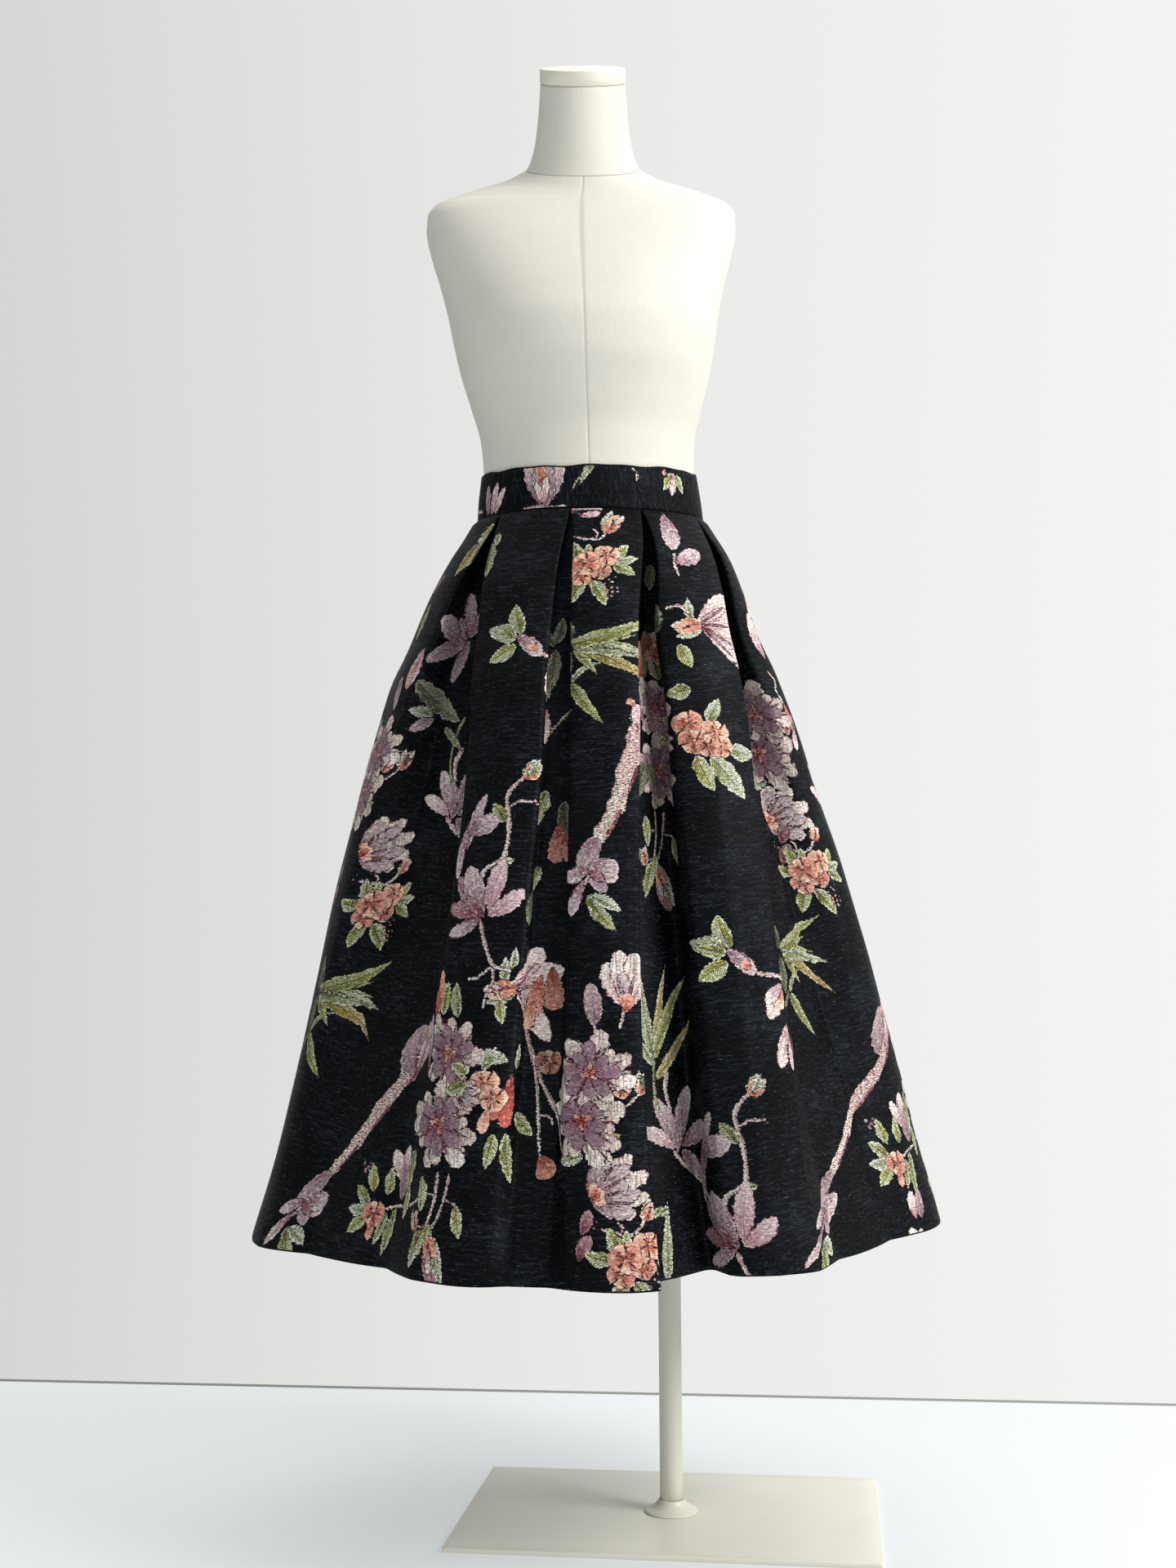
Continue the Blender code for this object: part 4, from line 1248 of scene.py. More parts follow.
def peony(x, y, radius, turn=0.0, shade=0.0):
    """A full flower: uneven pointed pale petals, a slate middle with crimson lines, a heart."""
    shapes = []

    def add(tone, *numbers):
        shapes.append(blade(tone, x, y, *numbers))

    for i in range(12):
        away = turn + 30 * i + (0, 7, -5)[i % 3]
        size = radius * (1.18, 0.88, 1.06, 0.96, 1.24)[i % 5]
        wide = size * (0.44, 0.36, 0.40)[i % 3]
        deep = shade + (0.0, 0.14, 0.05)[i % 3]
        add("white" if i % 4 == 1 else "pale", away, size, wide, 11 * (-1) ** i, deep)
        if i % 2:
            add("wine", away + 15, size * 0.98, radius * 0.045, 8, shade)
    for i in range(8):
        size = radius * (0.84, 0.66, 0.76)[i % 3]
        away = turn + 14 + 45 * i
        add("slate", away, size, size * 0.46, -9 * (-1) ** i, shade + (0.0, 0.12)[i % 2])
        add("wine", away + 21, size * 1.12, radius * 0.045, 7 - i, shade)
    for i in range(3):
        away = turn + 120 * i + 10
        add("coral", away, radius * 0.26, radius * 0.10, 12, shade)
        add("red", away + 50, radius * 0.17, radius * 0.10, 0, shade)
    return shapes


# Style, angle, length and width for a radius of 1, what the angle is divided by for the bend back,
# and how much darker.
HALF_OPEN = table("""
pale -40 0.9 0.3 4 0
pale 42 0.96 0.34 4 0
pale 0 1.22 0.32 4 0
pale 22 1.16 0.3 4 0
pale -20 1.12 0.3 4 0
mauve -36 0.86 0.36 2 0.12
mauve 38 0.84 0.38 2 0.12
mauve -14 0.98 0.34 2 0.12
mauve 16 1 0.34 2 0.12
mauve 0 0.8 0.4 2 0.12
wine 28 0.86 0.045 3 0
wine -26 0.84 0.045 3 0
wine 8 0.92 0.045 3 0
wine -8 0.7 0.045 3 0
peach -34 0.32 0.2 0 0.1
peach 6 0.32 0.2 0 0.1
peach 46 0.32 0.2 0 0.1
red 10 0.24 0.12 0 0
""")


def half_open(x, y, radius, turn=0.0, shade=0.0):
    """A flower opening to one side: cupped mauve petals, pale tips and an orange base."""
    shapes = []
    for style, angle, long, wide, soft, deep in HALF_OPEN:
        bend = -angle / soft if soft else 0.0
        size = (radius * long, radius * wide)
        shapes.append(blade(style, x, y, turn + angle, *size, bend, shade + deep))
    return shapes


def shoot(style, x, y, angle, length, width):
    """A bud held by pale sepals, with its dark marks."""
    way = ahead(angle)
    shapes = [blade("mint", x, y, angle + 16, length * 0.96, width * 0.62, -14)]
    shapes.append(blade(style, x, y, angle, length * 0.86, width, 0))
    at = (x, y) + way * length * 0.3
    shapes.append(blade("cream", *at, angle - 10, length * 0.66, width * 0.4, 12))
    for i in range(3):
        at = (x, y) + way * length * (0.18 + 0.16 * i)
        marked = (angle + 40 * (i - 1), length * 0.16, width * 0.12, 0, 0.4)
        shapes.append(blade("red", *at, *marked))
    return shapes


def specks(styles, size, *centres):
    """Small dots, each two or three threads wide."""
    styles = np.atleast_1d(styles)
    shapes = []
    for i, (x, y) in enumerate(centres):
        r = size * (1.0, 0.7, 1.25)[i % 3]
        shapes.append(blade(styles[i % len(styles)], x - r, y, 25 * (i % 7), 2 * r, 1.5 * r))
    return shapes


MANY = {made.__name__: made for made in (stroke, blossom, peony, half_open, shoot, specks)}


def motif(rows):
    """The shapes of one group: rows of (function or style, its numbers)."""
    shapes = []
    for kind, *values in rows:
        shapes += MANY[kind](*values) if kind in MANY else [blade(kind, *values)]
    points, data, faces = zip(*shapes)
    count = [len(xy) for xy in points]
    faces = [own + start for own, start in zip(faces, np.cumsum([0, *count]))]
    lift = np.repeat([LIFT + LIFT_STEP * i for i in range(len(shapes))], count)
    return np.concatenate(points), np.concatenate(data), np.concatenate(faces), lift


def groups(text):
    """Groups of shapes: a line with a group's name and a colon, then a line for each shape."""
    found = {}
    for row in table(text):
        if row[0].endswith(":"):
            rows = found[row[0][:-1]] = []
        else:
            rows += found[row[1]] if row[0] == "also" else [row]
    return found


# Each group's shapes, in mm from its own middle, x round the cloth and y up it. Leaves and petals:
# style, base x and y, angle, length, width, bend and how much darker, which for the loose shapes
# deep in the pleats' recesses is painted shade. Strokes: style, widths and points. The loose ones
# show singly on the front, and the band's are measured from its top edge.
GROUPS = groups("""
cluster:
olive -3 -14 243 31 15 10
olive 4 -15 300 34 15 -9
lime 27 14 46 23 13
mint 30 10 10 25 10 8
olive 27 6 -28 28 13
olive -10 10 102 25 13
lime -2 15 82 17 9
olive -15 3 164 28 14 -10
blossom peach 20 17 13.5 0 10
blossom coral -7 -9 12.5 0.04 30
blossom coral 13 -2 12 0.12 0
blossom coral -2 7 15.5 0 50
specks plum,mauve 1.4 21,-6 26,-9 18,-12 24,-15 31,-12 29,-18 21,-20
specks coral,plum 1.6 26,-23 32,-24 22,-28 28,-30 34,-30 30,-35 24,-34
coral:
stroke twig 2.4 -24,33 -8,29 4,27 12,32 19,42
stroke twig 1.8 -5,29 -3,34 -8,40
specks plum 1.4 -30,34 -27,39 35,6 38,1
half_open -32 60 50 22
shoot bud 17 40 52 23 14
also cluster
peony_high:
stroke twig 2.2 22,-18 34,-20 42,-14 50,-6
blossom coral 31 -4 9 0 0
shoot bud 49 -10 76 26 13
dusk 52 -4 96 14 6
olive -4 -58 20 36 15 12
mint -8 -66 196 30 13 -10
wine -12 -140 70 26 12 10
wine -16 -164 60 28 13 -8
peony -8 -34 38 20
peony 0 12 37 75
trio:
stroke twig 3.6 20,-20 32,-25 46,-27 58,-33
olive 0 3 106 36 19 -10
mint -5 -3 162 38 22 8
olive -8 -2 168 28 14 4
lime -4 -12 212 36 18 8
mauve -3 1 -44 38 17 -8
plum -3 1 -38 30 13 6
coral 20 -20 134 13 11
cream 50 -34 246 40 18 -6
peach 50 -36 262 26 12 6
cream 52 -36 224 28 13 8
cream 52 -76 254 46 15 -8
pink 56 -84 270 40 12 6
bamboo:
dusk -2 4 98 37 13
dusk -3 -4 262 40 12
stroke stalk 3.6,2 -2,-40 -18,-60 -38,-80 -58,-104
reed 0 -42 30 46 6 -34
bamboo 0 -44 -54 58 14 10
bamboo 4 -3 -52 40 11
gold 2 -3 -28 102 15 -18
bamboo 18 3 -6 58 13
reed 2 0 -10 92 17 -8
bamboo 0 6 6 70 13 4
bamboo 0 4 20 98 17 12
stroke reed 2.2,1.4 0,2 30,0 58,-7 78,-17
bamboo_high:
reed 2 0 96 92 12 -6
gold 6 2 76 96 12 -8
bamboo 4 8 54 92 16 -6
gold 4 -18 44 84 12 8
reed 0 -4 118 40 9
stroke stalk 3.4,2.4 2,4 0,-30 4,-52
bough:
stroke bough 22.5,13.5 30,84 27,68 21,46 11,12 3,-19 -9,-43 -18,-62
stroke rose 3.4,1.8 31,66 32,54 29,40
stroke rose 3.4,2.2 25,22 20,8 16,-4
stroke rose 2.8,2 9,-22 2,-38 -6,-50
pink 32 60 106 34 15 -6
coral 23 90 140 12 8
plum -14 -52 246 42 21 10
mauve -24 -84 210 28 15 8
pink -24 -80 -26 34 20 10
mauve -24 -82 -10 32 22 -8
plum -26 -82 -52 34 15
wine -26 -84 -36 24 9
stroke twig 3.4,2 -22,-90 -30,-106 -36,-124
olive -24 -112 -52 46 15 8
mint -22 -112 -28 36 12 -6
mauve -28 -96 250 40 12 8
bough_head:
plum 30 56 118 56 33 -14 0.08
pink 34 60 84 50 28 12
mauve 32 62 100 50 20 4
wine 32 62 108 40 3
wine 33 62 92 38 3
coral 22 96 150 13 9
tulip:
stroke twig 2.6,2 2,-14 0,-26 -4,-40
white 4 -20 112 50 20 -16
white 4 -20 68 50 20 16
white 4 -20 97 58 19 -5
white 4 -20 82 55 19 5
mauve 4 -18 96 34 14 -8
wine 4 -18 108 32 3
wine 4 -18 76 32 3
coral 4 -24 90 19 15
plum -28 -36 96 42 18 6
stroke twig 2 -28,-34 -26,-46 -18,-58
magnolia:
stroke twig 3.4,5 32,150 20,140 12,125 17,91 15,64 -7,48 -12,30
stroke twig 2.4 15,116 28,122 40,121
specks pink,coral 2.2 41,122 44,118
shoot bud 30 146 48 25 17
mint 33 148 60 22 9
olive 12 100 126 26 14
mauve -31 70 72 64 12 -10
mauve -30 86 24 40 21 -14
mauve -31 100 262 62 9 8
stroke twig 4.2,3 -5,-3 0,-20 8,-38 14,-49 26,-52 34,-54
stroke twig 2.6 14,-49 4,-56 -6,-62 -14,-62
stroke twig 2.8,2 14,-50 16,-64 10,-78 8,-92
stroke twig 2.2 12,-70 22,-76 26,-84
lime 25 -84 282 24 11
mint 34 -52 84 22 8
olive 26 60 196 20 7
pink 4 4 78 58 20 -8
wine -4 2 172 44 17 10
mauve -4 0 205 44 14 -8
wine -2 4 132 52 18 -12
pink 2 2 36 46 18 14
mauve -2 0 112 58 25 -10
wine -2 4 140 30 9 -10
lily:
mint -8 4 94 26 10
cream -2 0 40 58 27 16
cream 0 2 12 66 27 10
cream 0 -2 -16 60 22 -12
cream 0 -2 -46 78 21 -16
pink 0 0 26 46 10
pink 0 -2 -34 50 10
shoot bud 4 -1 192 36 20
wine 2 0 30 40 3
wine 2 -1 -2 40 3
wine 2 -2 -30 46 3
wine 2 -2 -46 54 3
peonies:
olive 18 26 250 30 16 8
olive 10 12 100 28 15
lime -14 80 84 34 13
olive 6 78 100 36 14 -6
coral -22 78 94 46 15 4
red -26 70 100 34 12
peony 0 42 37 0
peony -3 -28 41 40
mauve -30 22 98 58 10 6
half_open 14 6 26 -20
olive 26 12 200 26 14
lime 24 22 150 22 12
bunch:
olive 42 28 62 26 11
mint 34 40 -6 34 15 -8
lime 60 -34 262 34 12
olive 72 -34 284 50 14 8
olive 84 -16 312 30 14
mint 78 28 84 26 9
red 72 24 268 52 17 0
red 66 12 254 34 12 0
blossom peach 46 14 15 0 20
blossom coral 34 2 12 0.05 60
blossom peach 56 0 14 0.04 0
peach 52 -8 262 26 12
bunch_high:
mint 4 8 58 32 16
olive -8 46 196 28 17
lime -10 -30 290 42 19 6
mint 4 -32 308 58 24 -8
mint 26 -22 -14 32 19
blossom coral -16 6 16 0 40
blossom coral -12 -14 15 0.06 10
blossom peach 12 -4 15 0 0
blossom peach 18 -20 13 0.05 70
blossom coral 2 -20 12 0.1 20
sprig:
stroke twig 3.6,2.6 -4,34 -4,14 -8,-8 -14,-26
stroke twig 2.8,2 10,34 8,14 2,-8 -4,-22 -2,-32
stroke twig 1.8 -4,12 -16,12 -24,14
stroke twig 1.8 8,8 18,6 24,0
stroke twig 1.8 -12,-18 -22,-20 -26,-16
specks plum 2.6 -3,-33 0,-36
lime -24 28 276 34 13
lime 22 4 286 32 13 6
shoot bud -26 -26 96 24 11
olive -14 -22 250 40 15 8
lime -8 -14 262 24 9
wine -6 -28 290 50 20 8
shoot bud -5 -27 286 38 17
mint 4 -46 300 28 10
sprig_wide:
stroke twig 2.4 74,12 60,4 46,0 20,-4 4,-10
stroke twig 1.8 -12,6 -18,20 -26,28
specks wine,plum 2.3 -28,30 -24,34 -30,24 -32,31 -22,29
wine 34 4 104 46 20
plum 30 4 92 52 24 6
cream 22 20 116 34 15
cream 30 30 84 28 15
olive 50 56 262 44 14 6
lime 48 20 264 34 12
lime -14 8 104 28 14
lime 6 6 88 28 13
olive -16 -8 140 30 14
mint -18 -14 176 28 13
lime -16 -18 216 30 14
olive 10 -12 252 34 10
olive 22 -6 258 48 12
blossom coral -7 -14 14 0 30
coral -6 -18 262 22 10
star:
stroke twig 6,3.4 -8,70 -14,52 -10,34 -6,6
stroke twig 4.4,4.4 -10,-8 4,-22 24,-38 40,-58 52,-84
mauve -2 -10 118 62 18 10
mauve -2 -10 70 66 20 -8
cream -6 -8 152 50 15 14
mauve 4 -6 32 50 18 10
plum 4 -10 -44 40 15
wine -2 -8 92 34 8
plum -2 -8 104 44 12
windmill:
plum 4 -2 262 52 17 0
plum 6 2 62 46 15 -8
mauve 2 0 104 58 22 10
mauve 0 0 150 52 24 -12
plum 0 -2 208 54 21 8
plum 2 0 128 34 12
wine 2 0 118 26 3
wine 2 0 196 24 3
wine 2 0 250 24 3
loose:
mauve -44 -6 4 40 15 -6
pink -30 -14 14 24 9
stroke twig 2.4 -38,-42 -24,-46 -10,-46 -3,-38
stroke twig 1.8 -14,-46 -12,-38 -17,-32
shoot bud -4 -38 56 36 17
lime -326 -14 266 36 15
gold -327 -42 250 42 19
olive -206 -44 275 44 15 0 0.2
olive -201 -30 276 18 9
wine -367 -76 211 34 15
olive -377 -110 266 44 15
pink -347 -166 257 52 17 4
coral -350 -180 256 34 7
plum -376 -200 266 40 13
dusk -346 -207 322 80 25 6 -0.35
reed -303 -262 316 42 9 0 0.3
mint -322 -247 168 30 14 0 0.2
plum -321 -251 206 30 13
stroke stalk 3,2 -276,-250 -284,-268 -288,-297 -280,-330
plum -268 -345 74 44 11
mauve -258 -352 8 42 26
mauve 194 -6 258 52 22 -6
mauve 184 -72 24 40 20 6
pink 186 -74 40 30 12
stroke twig 3.4,2.4 186,-60 183,-74 187,-90
dusk 113 -72 276 32 13
stroke twig 3 172,-128 186,-125 200,-135
lime 189 -171 288 30 16
cream 420 -177 112 60 25 4
pink 418 -175 122 34 10
cream 404 -98 285 30 13
stroke twig 3 412,-194 421,-206 415,-218 422,-235
coral 422 -235 280 24 14
cream 430 -264 262 26 14
stroke twig 5,3,0.25 -119,-543 -100,-584 -86,-624 -62,-672 -48,-702
stroke twig 3,2.4 -90,-606 -84,-650 -80,-712
stroke twig 2 -82,-668 -72,-670 -68,-678
coral -80 -706 300 24 22 0 0.3
coral -76 -522 276 44 20 0 0.35
coral -86 -530 258 44 18 0 0.2
peach -92 -556 252 30 17 0 0.3
olive -88 -338 250 44 17
dusk -70 -350 276 46 16
coral -74 -372 266 44 16 0 0.4
coral -68 -380 280 36 13 0 0.3
olive -92 -420 240 30 15
dusk -112 -444 262 36 17
reed 92 -826 84 72 12
olive 101 -762 186 26 9
cream 487 -811 96 30 17
plum 497 -811 84 30 14
dusk 165 -156 96 34 14 4
blossom coral 131 -171 21 0.45 15
blossom coral 145 -149 13 0.5 50
wine 125 -233 262 40 22 8 0.2
dusk 99 -308 250 44 18 6
dusk 103 -304 296 40 15 -6
blossom coral -74 -617 13 0.4 20
dusk -83 -170 78 32 12 4
dusk -85 -174 118 24 9 4
dusk -83 -178 264 50 14 -6
dusk -87 -213 250 40 11 6
band_left:
stroke twig 3 -78,-49 -60,-47 -42,-49 -24,-48
mauve -50 -48 104 66 24 -6
mauve -50 -48 76 66 24 6
plum -50 -48 90 62 26
coral -52 -22 94 34 13
cream -50 -46 84 34 9
cream -52 -46 104 30 8
pink -124 -52 72 42 10
cream -118 -52 60 38 8
plum -130 -50 88 36 9
band_right:
stroke stalk 2.4,1.2 -2,0 -6,-10 -14,-20 -18,-30
reed 6 0 236 30 6 10
stroke twig 2 48,-2 54,-8 53,-18
lime 100 -6 236 26 10
cream 102 -4 262 28 9
lime 106 -6 292 24 9
coral 90 -2 250 8 5
""")
# Where each group's middle sits, in mm round and down the cloth, its lean in degrees and, where it
# lies in shade such as a pleat's recess, how much darker its colours are drawn: painted shade.
FRONT_PLACES = table("""
loose 0 0 0
cluster -21 84 0
coral -360 466 0
coral 411 435 0
coral 16 802 0
peony_high -398 300 0
peony_high 380 259 0 0.25
peony_high -14 636 0
trio -146 162 0
trio 213 509 0
trio -500 541 0
trio 614 170 0
bamboo -35 176 0
bamboo -419 557 0
bamboo 330 516 0
bamboo_high 92 618 0
bough 9 337 0
bough -326 690 26
bough_head -326 690 26
bough 410 689 44
bough_head 410 689 40
tulip 19 542 0
tulip 480 856 0
magnolia -164 471 0
magnolia 199 800 0 0.28
magnolia -526 118 0
magnolia 588 471 0
lily -128 540 0
lily 209 145 0
lily -478 190 0
lily 638 540 0
peonies -191 650 0
bunch -191 650 0
peonies 127 288 0 0.38
bunch_high 203 271 0
peonies 568 660 0
bunch 568 660 0
peonies -560 300 0
bunch -560 300 0
sprig -186 757 0
sprig 121 394 0 0.35
sprig 574 770 0
sprig -556 420 0
sprig_wide -286 762 0
sprig_wide 476 736 0
star 124 700 0 0.3
star -269 356 0
star -600 690 0
star 492 349 0
windmill -290 155 0 0.25
windmill 518 60 0
""")
BAND_FRONT_PLACES = table("""
band_left 0 0 0
band_right 0 0 0
""")
BAND_BACK_PLACES = table("""
band_left 60 0 0
band_right -60 0 0
cluster -130 10 0
trio 150 20 0
""")
REPEAT = 355.0  # the pattern's half drop, in mm
BACK_START = (40.0, 300.0)  # where one repeat starts on the back, round and down in mm,
BACK_HALF, BACK_ENDS = 650.0, (-60, 890)  # and how far round and down its groups go
REPEAT_PLACES = table("""
coral 0 0 0
peony_high -38 -166 0
trio -125 75 0
bamboo -14 89 0
bough 30 250 8
bough_head 30 250 8
tulip 37 455 0
magnolia -150 384 0
lily -105 448 0
peonies -170 563 0
bunch -170 563 0
sprig -165 670 0
star -248 262 0
""")


def repeated():
    """The pattern's places over the whole back."""
    places = []
    for j in range(-3, 3):
        for i in range(-3, 4):
            for name, x, y, lean in REPEAT_PLACES if (i + j) % 2 == 0 else ():
                around, down = BACK_START[0] + i * REPEAT + x, BACK_START[1] + j * REPEAT + y
                if abs(around) < BACK_HALF and BACK_ENDS[0] < down < BACK_ENDS[1]:
                    places.append((name, around, down, lean))
    return places


def split(corners, axis, level):
    """Triangles cut in two where a value of theirs crosses a level. corners: (n, 3, values)."""
    value = corners[:, :, axis] - level
    order = np.argsort(value, axis=1)
    corners = np.take_along_axis(corners, order[:, :, None], axis=1)
    value = np.take_along_axis(value, order, axis=1)
    low, middle, high = corners[:, 0], corners[:, 1], corners[:, 2]
    share = (-value[:, 0] / (value[:, 2] - value[:, 0]))[:, None]
    long_cut = low + (high - low) * share
    under = value[:, 1] <= 0.0
    start = np.where(under[:, None], middle, low)
    end = np.where(under[:, None], high, middle)
    start_value = np.where(under, value[:, 1], value[:, 0])
    end_value = np.where(under, value[:, 2], value[:, 1])
    rise = np.where(end_value == start_value, 1.0, end_value - start_value)
    cut = start + (end - start) * (-start_value / rise)[:, None]
    for point in (long_cut, cut):
        point[:, axis] = level if np.isscalar(level) else level[:, 0]
    near = np.where(under[:, None], middle, cut)
    far = np.where(under[:, None], cut, middle)
    triangles = ((low, near, long_cut), (near, far, long_cut), (far, high, long_cut))
    return np.concatenate([np.stack(triangle, axis=1) for triangle in triangles])


def trimmed(corners, axis, level, keep_above):
    """Triangles cut at a level, and only those on one side of it."""
    value = corners[:, :, axis]
    cross = (value.min(axis=1) < level - 1e-9) & (value.max(axis=1) > level + 1e-9)
    corners = np.concatenate([corners[~cross], split(corners[cross], axis, level)])
    middle = corners[:, :, axis].mean(axis=1)
    return corners[middle > level] if keep_above else corners[middle < level]


def woven(name, cloth, places, material, thick, is_band=False):
    """One mesh of the motifs at these places, lying on the cloth and cut at each of its columns.

    A corner's values: lengths round and down the cloth, a column (of the group's middle, then
    its own), the lift off the cloth, and THREAD_DATA in threes.
    """
    used = {place[0] for place in places}
    built = {key: motif(rows) for key, rows in GROUPS.items() if key in used}
    pools = []
    for number, (key, around, down, lean, *painted_shade) in enumerate(places):
        xy, data, faces, lift = built[key]
        # Painted shade: a group that lies in a shaded place has all its colours darkened.
        if painted_shade:
            data = np.column_stack([data[:, :12] * (1.0 - painted_shade[0]), data[:, 12:]])
        around, down = around / 1000.0, down / 1000.0
        drop = down - xy[:, 1]
        shift = xy[:, 0] + math.tan(math.radians(lean)) * xy[:, 1]
        row = cloth.row_of(np.clip(down, 0.0, cloth.fall[-1]))
        column = cloth.column_of(np.array([row]), np.array([around]))[0]
        lift = lift + PLACE_STEP * (number % 5)
        values = np.column_stack([shift, drop, np.full(len(xy), column), lift, data])
        pools.append(values[faces])
    corners = np.concatenate(pools)
    corners = trimmed(corners, 1, MOTIFS_FROM, True)
    corners = trimmed(corners, 1, cloth.fall[-1] - MOTIFS_SHORT, False)
    flat = corners.reshape(-1, corners.shape[2])
    row = cloth.row_of(flat[:, 1])
    anchor = np.clip(flat[:, 2], 0.0, cloth.across - 1.001)
    flat[:, 0] += cloth.read(cloth.round, row, anchor)
    flat[:, 2] = cloth.column_of(row, flat[:, 0])
    corners = flat.reshape(corners.shape)
    corners = trimmed(corners, 2, 0.02, True)
    corners = trimmed(corners, 2, cloth.across - 1.02, False)
    done = []
    while len(corners):
        low, high = corners[:, :, 2].min(axis=1), corners[:, :, 2].max(axis=1)
        line = np.floor(low + 1e-6) + 1.0
        cross = high > line + 1e-6
        done.append(corners[~cross])
        corners = split(corners[cross], 2, line[cross][:, None]) if cross.any() else corners[:0]
    corners = np.concatenate(done)
    turn = corners[:, 1, [2, 1]] - corners[:, 0, [2, 1]]
    other = corners[:, 2, [2, 1]] - corners[:, 0, [2, 1]]
    area = turn[:, 0] * other[:, 1] - turn[:, 1] * other[:, 0]
    corners, area = corners[np.abs(area) > 1e-9], area[np.abs(area) > 1e-9]
    corners[area > 0] = corners[area > 0][:, ::-1]
    flat = corners.reshape(-1, corners.shape[2])
    key = np.round(flat[:, [2, 1, 3]] * (1e4, 1e6, 1e8)).astype(np.int64)
    _, first, index = np.unique(key, axis=0, return_index=True, return_inverse=True)
    points, faces = flat[first], index.reshape(-1, 3)
    whole = (faces != faces[:, [1, 2, 0]]).all(axis=1)
    row = cloth.row_of(points[:, 1])
    normal = cloth.read(cloth.normals, row, points[:, 2])
    place = cloth.read(cloth.grid, row, points[:, 2])
    place = place + normal * (thick / 2.0 + points[:, 3])[:, None]
    measured = points[:, [1, 0]] if is_band else points[:, :2]
    vectors = {"cloth": np.column_stack([measured, np.zeros(len(points))])}
    for i, key in enumerate(THREAD_DATA):
        vectors[key] = points[:, 4 + 3 * i : 7 + 3 * i]
    return new_piece(name, place, faces[whole], [material], None, vectors)


def thread_finish(name):
    """Coloured wefts over the dark ground, ragged at their edges."""
    sheen = {"Sheen_Weight": 0.08, "Sheen_Roughness": 0.4, "Sheen_Tint": (0.9, 0.88, 0.86, 1.0)}
    graph = Finish(name, Specular_IOR_Level=0.26, **sheen)
    noise, rise, shaken, lay = graph.noise, graph.rise, graph.shaken, graph.lay
    times, times_plus, calc = graph.times, graph.times_plus, graph.calc
    cloth = graph.attribute("cloth")
    ground, _ = ground_weave(graph, cloth)
    base, tip, edge, line = [graph.attribute(key, "Color") for key in THREAD_DATA[:4]]
    rim, vein, rib = graph.parts(graph.attribute("marks"))
    place = graph.attribute("place")
    along, across, share = graph.parts(place)
    gaps, side_veins, streaks = graph.parts(graph.attribute("kinds"))
    yarn = noise(cloth, (230.0, 640.0, 1.0), rough=0.65)
    short = noise(cloth, (560.0, 1100.0, 7.0), 1.0, 0.6)
    coarse = noise(cloth, (330.0, 470.0, 9.0), 1.0)
    cloud = noise(cloth, (210.0, 300.0, 3.0), rough=0.6)
    patch = noise(cloth, (75.0, 75.0, 13.0), 1.0)
    ragged = shaken(shaken(rim, coarse, times_plus(gaps, 0.0038, 0.0054)), short, 0.0024)

    # From the base's colour to the tip's, with lighter and duller threads among them.
    streak = noise(place, (60.0, 900.0, 0.0), 1.0)
    shift = times(calc("SUBTRACT", streak, 0.5), times_plus(streaks, 1.0, 0.25))
    graph.start(rise(calc("ADD", share, shift), 0.22, 0.80), base, tip)
    lay(rise(cloud, 0.54, 0.60, 0.0, 0.55), edge)
    dull = graph.mix(1.0, graph.colour, (0.45, 0.43, 0.42), "MULTIPLY")
    lay(rise(cloud, 0.46, 0.38, 0.0, 0.40), dull)
    # A leaf's lit half, the pale outline and the petals' dark seams.
    lay(times(rise(across, -0.0004, 0.0006, 0.0, 0.52), side_veins), edge)
    broken = rise(patch, 0.40, 0.56, 0.10, 1.0)
    thin = times_plus(side_veins, -0.0011, ragged)
    lay(times(rise(thin, 0.0020, 0.0012, 0.0, 1.0), broken), edge)
    seam = times(rise(ragged, 0.0017, 0.0011, 0.0, 0.85), streaks)
    lay(times(seam, rise(patch, 0.60, 0.46, 0.15, 1.0)), line)
    depth = graph.mix(rise(yarn, 0.36, 0.66), (0.58, 0.56, 0.55), (1.34, 1.34, 1.34))
    graph.multiply(depth)
    # Upright ribs, the middle vein, the side veins and the lengthwise lines.
    upright = noise(cloth, (620.0, 42.0, 5.0), 1.0)
    lay(times(rise(upright, 0.52, 0.60, 0.0, 0.62), rib), (0.10, 0.08, 0.085))
    wavy = shaken(vein, short, 0.0026)
    lay(times(rise(wavy, 0.00060, 0.00020), times_plus(streaks, -0.50, 0.85)), line)
    leaned = shaken(times_plus(calc("ABSOLUTE", across), -1.15, along), coarse, 0.0016)
    crossed = calc("SINE", times(leaned, 2 * math.pi / VEIN_PITCH))
    crossed = times(rise(shaken(crossed, short, 2.4), 0.34, 0.66, 0.0, 0.92), side_veins)
    lay(times(crossed, rise(ragged, 0.0013, 0.0022)), line)
    drawn = noise(place, (130.0, 1250.0, 3.0), 1.0)
    near = times(rise(share, 0.85, 0.35, 0.30, 1.0), streaks)
    lay(times(rise(drawn, 0.58, 0.62, 0.0, 0.80), near), line)
    fleck = rise(noise(cloth, (340.0, 680.0, 11.0), 1.0, 0.55), 0.60, 0.66)
    lay(times(fleck, times_plus(gaps, 1.2, 0.12)), line)
    # The ground between the threads, and past their ragged ends.
    open_place = noise(cloth, (260.0, 820.0, 17.0), 1.0, 0.55)
    spread = times_plus(gaps, 0.20, calc("SUBTRACT", open_place, 0.74))
    bare = rise(spread, 0.0, 0.04, 0.0, 0.85)
    shown = calc("MAXIMUM", bare, rise(ragged, 0.0008, 0.0004))
    lay(shown, ground)
    raised = calc("SUBTRACT", 1.0, shown)
    graph.bump(times_plus(raised, 0.70, times(yarn, 0.8)), 0.0007, 0.85)
    return graph.done(rise(yarn, 0.3, 0.7, 0.86, 0.66))


# ---------------- all pieces


def handed(piece, node=None):
    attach(piece, "root")
    if node:
        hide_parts(node)
    return piece


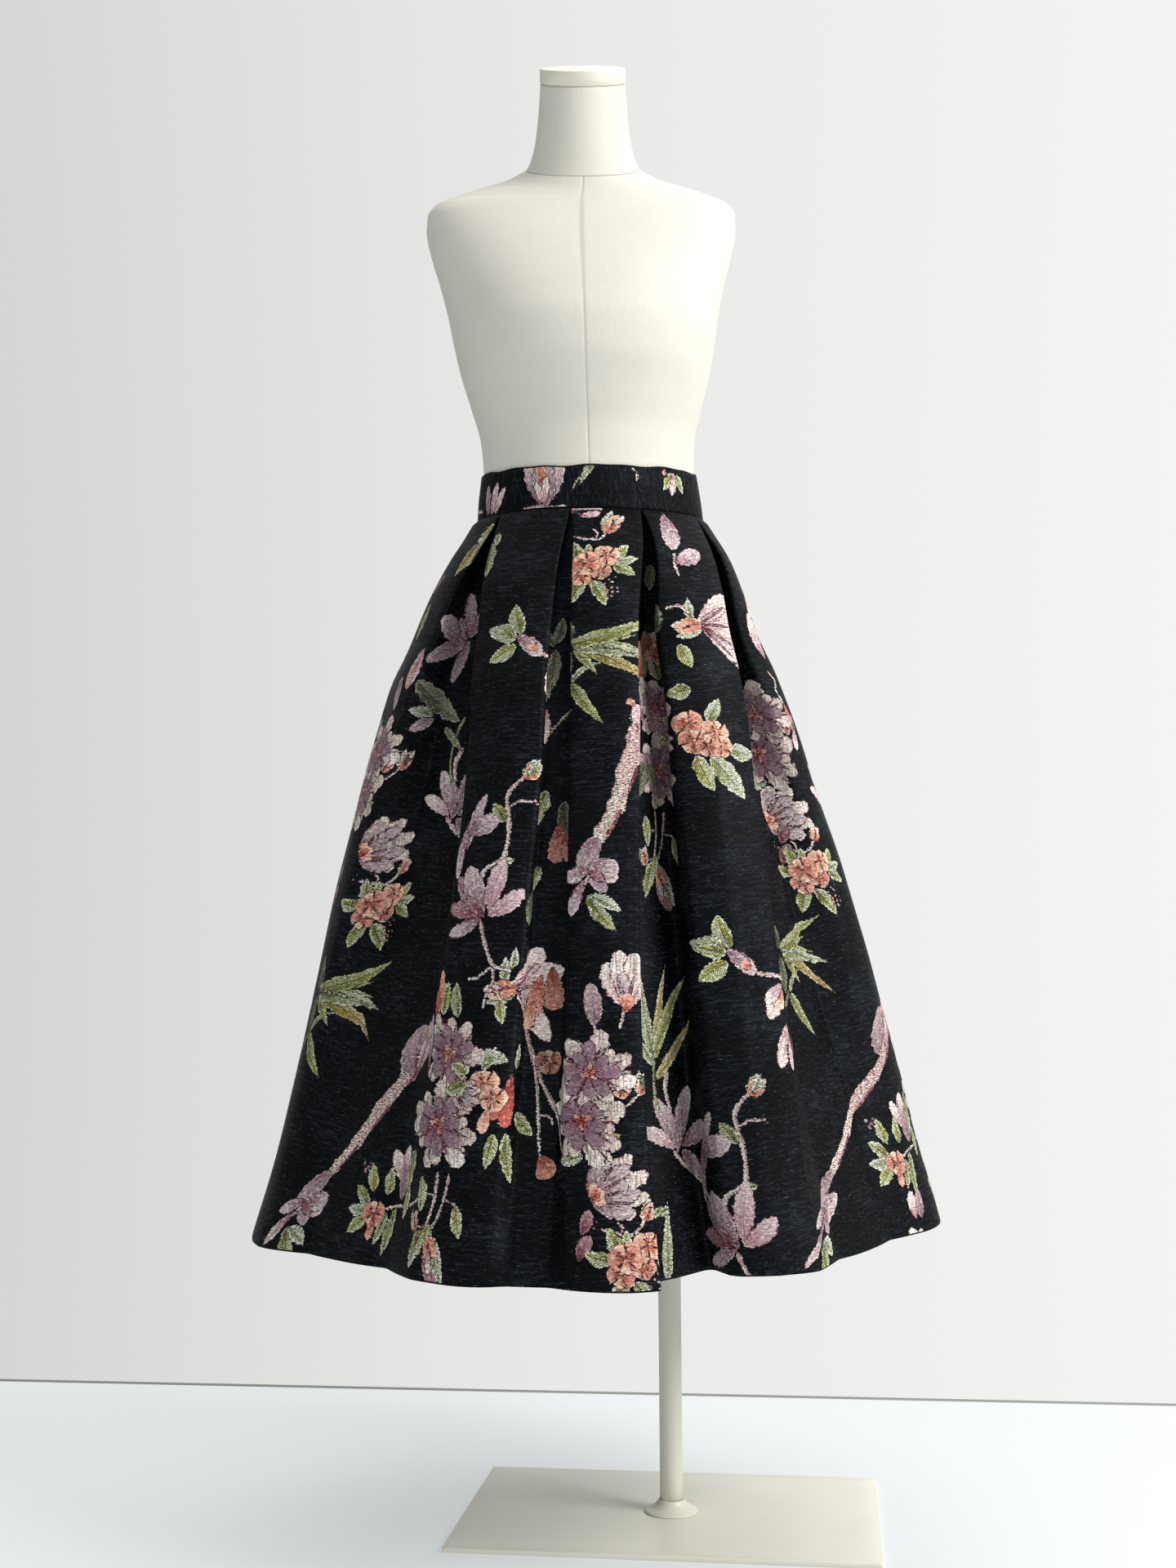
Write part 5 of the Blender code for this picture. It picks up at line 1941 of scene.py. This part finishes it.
def form_and_stand():
    """The form's covers and cap, and the pole, flange and base."""
    cover = form_cloth("form_cotton", (0.80, 0.775, 0.70), (0.76, 0.735, 0.655), 900.0, 0.00035)
    seams = (0.0, math.pi / 2, math.pi, 3 * math.pi / 2)
    torso = loft("torso_cover", finer(TORSO, 190), seam_turns(seams, 0.10), [cover], seams)
    base = lifted(TORSO[-1], GAP)
    neck_rows = [(base[0], *NECK[0][1:3], base[3], base[4], 30.0, 2.0), *NECK[1:]]
    seams = (math.pi,)
    neck = loft("neck_cover", finer(neck_rows, 46), seam_turns(seams, 0.055), [cover], seams)
    steps = ((GAP, -0.0010), (GAP + 0.0003, -0.0002), (GAP + 0.0008, 0.0004))
    steps += ((CAP_HIGH * 0.5, 0.0005), (CAP_HIGH - 0.0010, 0.0004), (CAP_HIGH - 0.0004, 0.0))
    steps += ((CAP_HIGH, -0.0010), (CAP_HIGH, -0.0300))
    cap_rows = [lifted(NECK[-1], *step) for step in steps]
    cap = loft("neck_cap", cap_rows, seam_turns((), 0.05), [cap_finish("cap_board")])
    paint = cream_paint("cream_paint_finish")
    foot = BASE_THICK + GAP
    rod = [(POLE_RADIUS, z) for z in np.linspace(TORSO[0][0] - GAP, foot, 24)]
    pole = lathe("pole_tube", rod, 72, [paint], is_tube=False)
    bore = POLE_RADIUS + GAP
    profile = [(bore, foot), *[(r, foot + z) for r, z in FLANGE], (bore, foot + FLANGE[-1][1])]
    flange = lathe("flange_trumpet", profile[::-1], 96, [paint])
    plate = rounded_plate("base_plate_steel", [paint])
    for piece, node, slot in (
        (torso, "form_torso", "form_cloth"),
        (neck, "form_neck", "form_cloth"),
        (cap, "form_cap", "form_cap"),
        (pole, "pole", "cream_paint"),
        (flange, "pole_flange", "cream_paint"),
        (plate, "base_plate", "cream_paint"),
    ):
        handed(piece, node)


def main():
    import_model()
    studio()

    front_grid, back_grid, front_middle, back_middle = skirt_grids()
    front, back = Cloth(front_grid, front_middle), Cloth(back_grid, back_middle)
    crease(front, FRONT_CREASES, 0.4, 0.0)
    crease(back, BACK_CREASES, 2.1, 0.5)
    left, right = [math.radians(angle) for angle in BAND_SEAMS_DEG]
    band_front = Cloth(band_cloth(left, right, 96), 44)
    band_back = Cloth(band_cloth(right, left + 2.0 * math.pi, 120), 60)

    ground, reverse = jacquard("jacquard_ground"), jacquard_back("jacquard_reverse")
    threads = thread_finish("jacquard_threads")
    sides = (
        ("skirt_front", front, FRONT_PLACES, False),
        ("skirt_back", back, repeated(), False),
        ("waistband_front", band_front, BAND_FRONT_PLACES, True),
        ("waistband_back", band_back, BAND_BACK_PLACES, True),
    )
    for name, cloth, _, is_band in sides:
        inner = outer = (BAND_THICK if is_band else CLOTH_THICK) / 2.0
        if not is_band:
            turn_up = cloth.fall[-1] - HEM_TURNED
            inner = outer + HEM_EXTRA * smooth_rise(cloth.fall, turn_up, turn_up + HEM_EASE)
        materials = [ground, ground if is_band else reverse]
        piece = shell(f"{name}_cloth", cloth, outer, inner, materials, is_band)
        handed(piece, name)
    for name, cloth, places, is_band in sides:
        thick = BAND_THICK if is_band else CLOTH_THICK
        piece = woven(f"{name}_motifs", cloth, places, threads, thick, is_band)
        handed(piece)
    form_and_stand()

    for side, flat in (("front", (0.31, 0.052)), ("back", (0.40, 0.052))):
        name = f"waistband_{side}"


main()
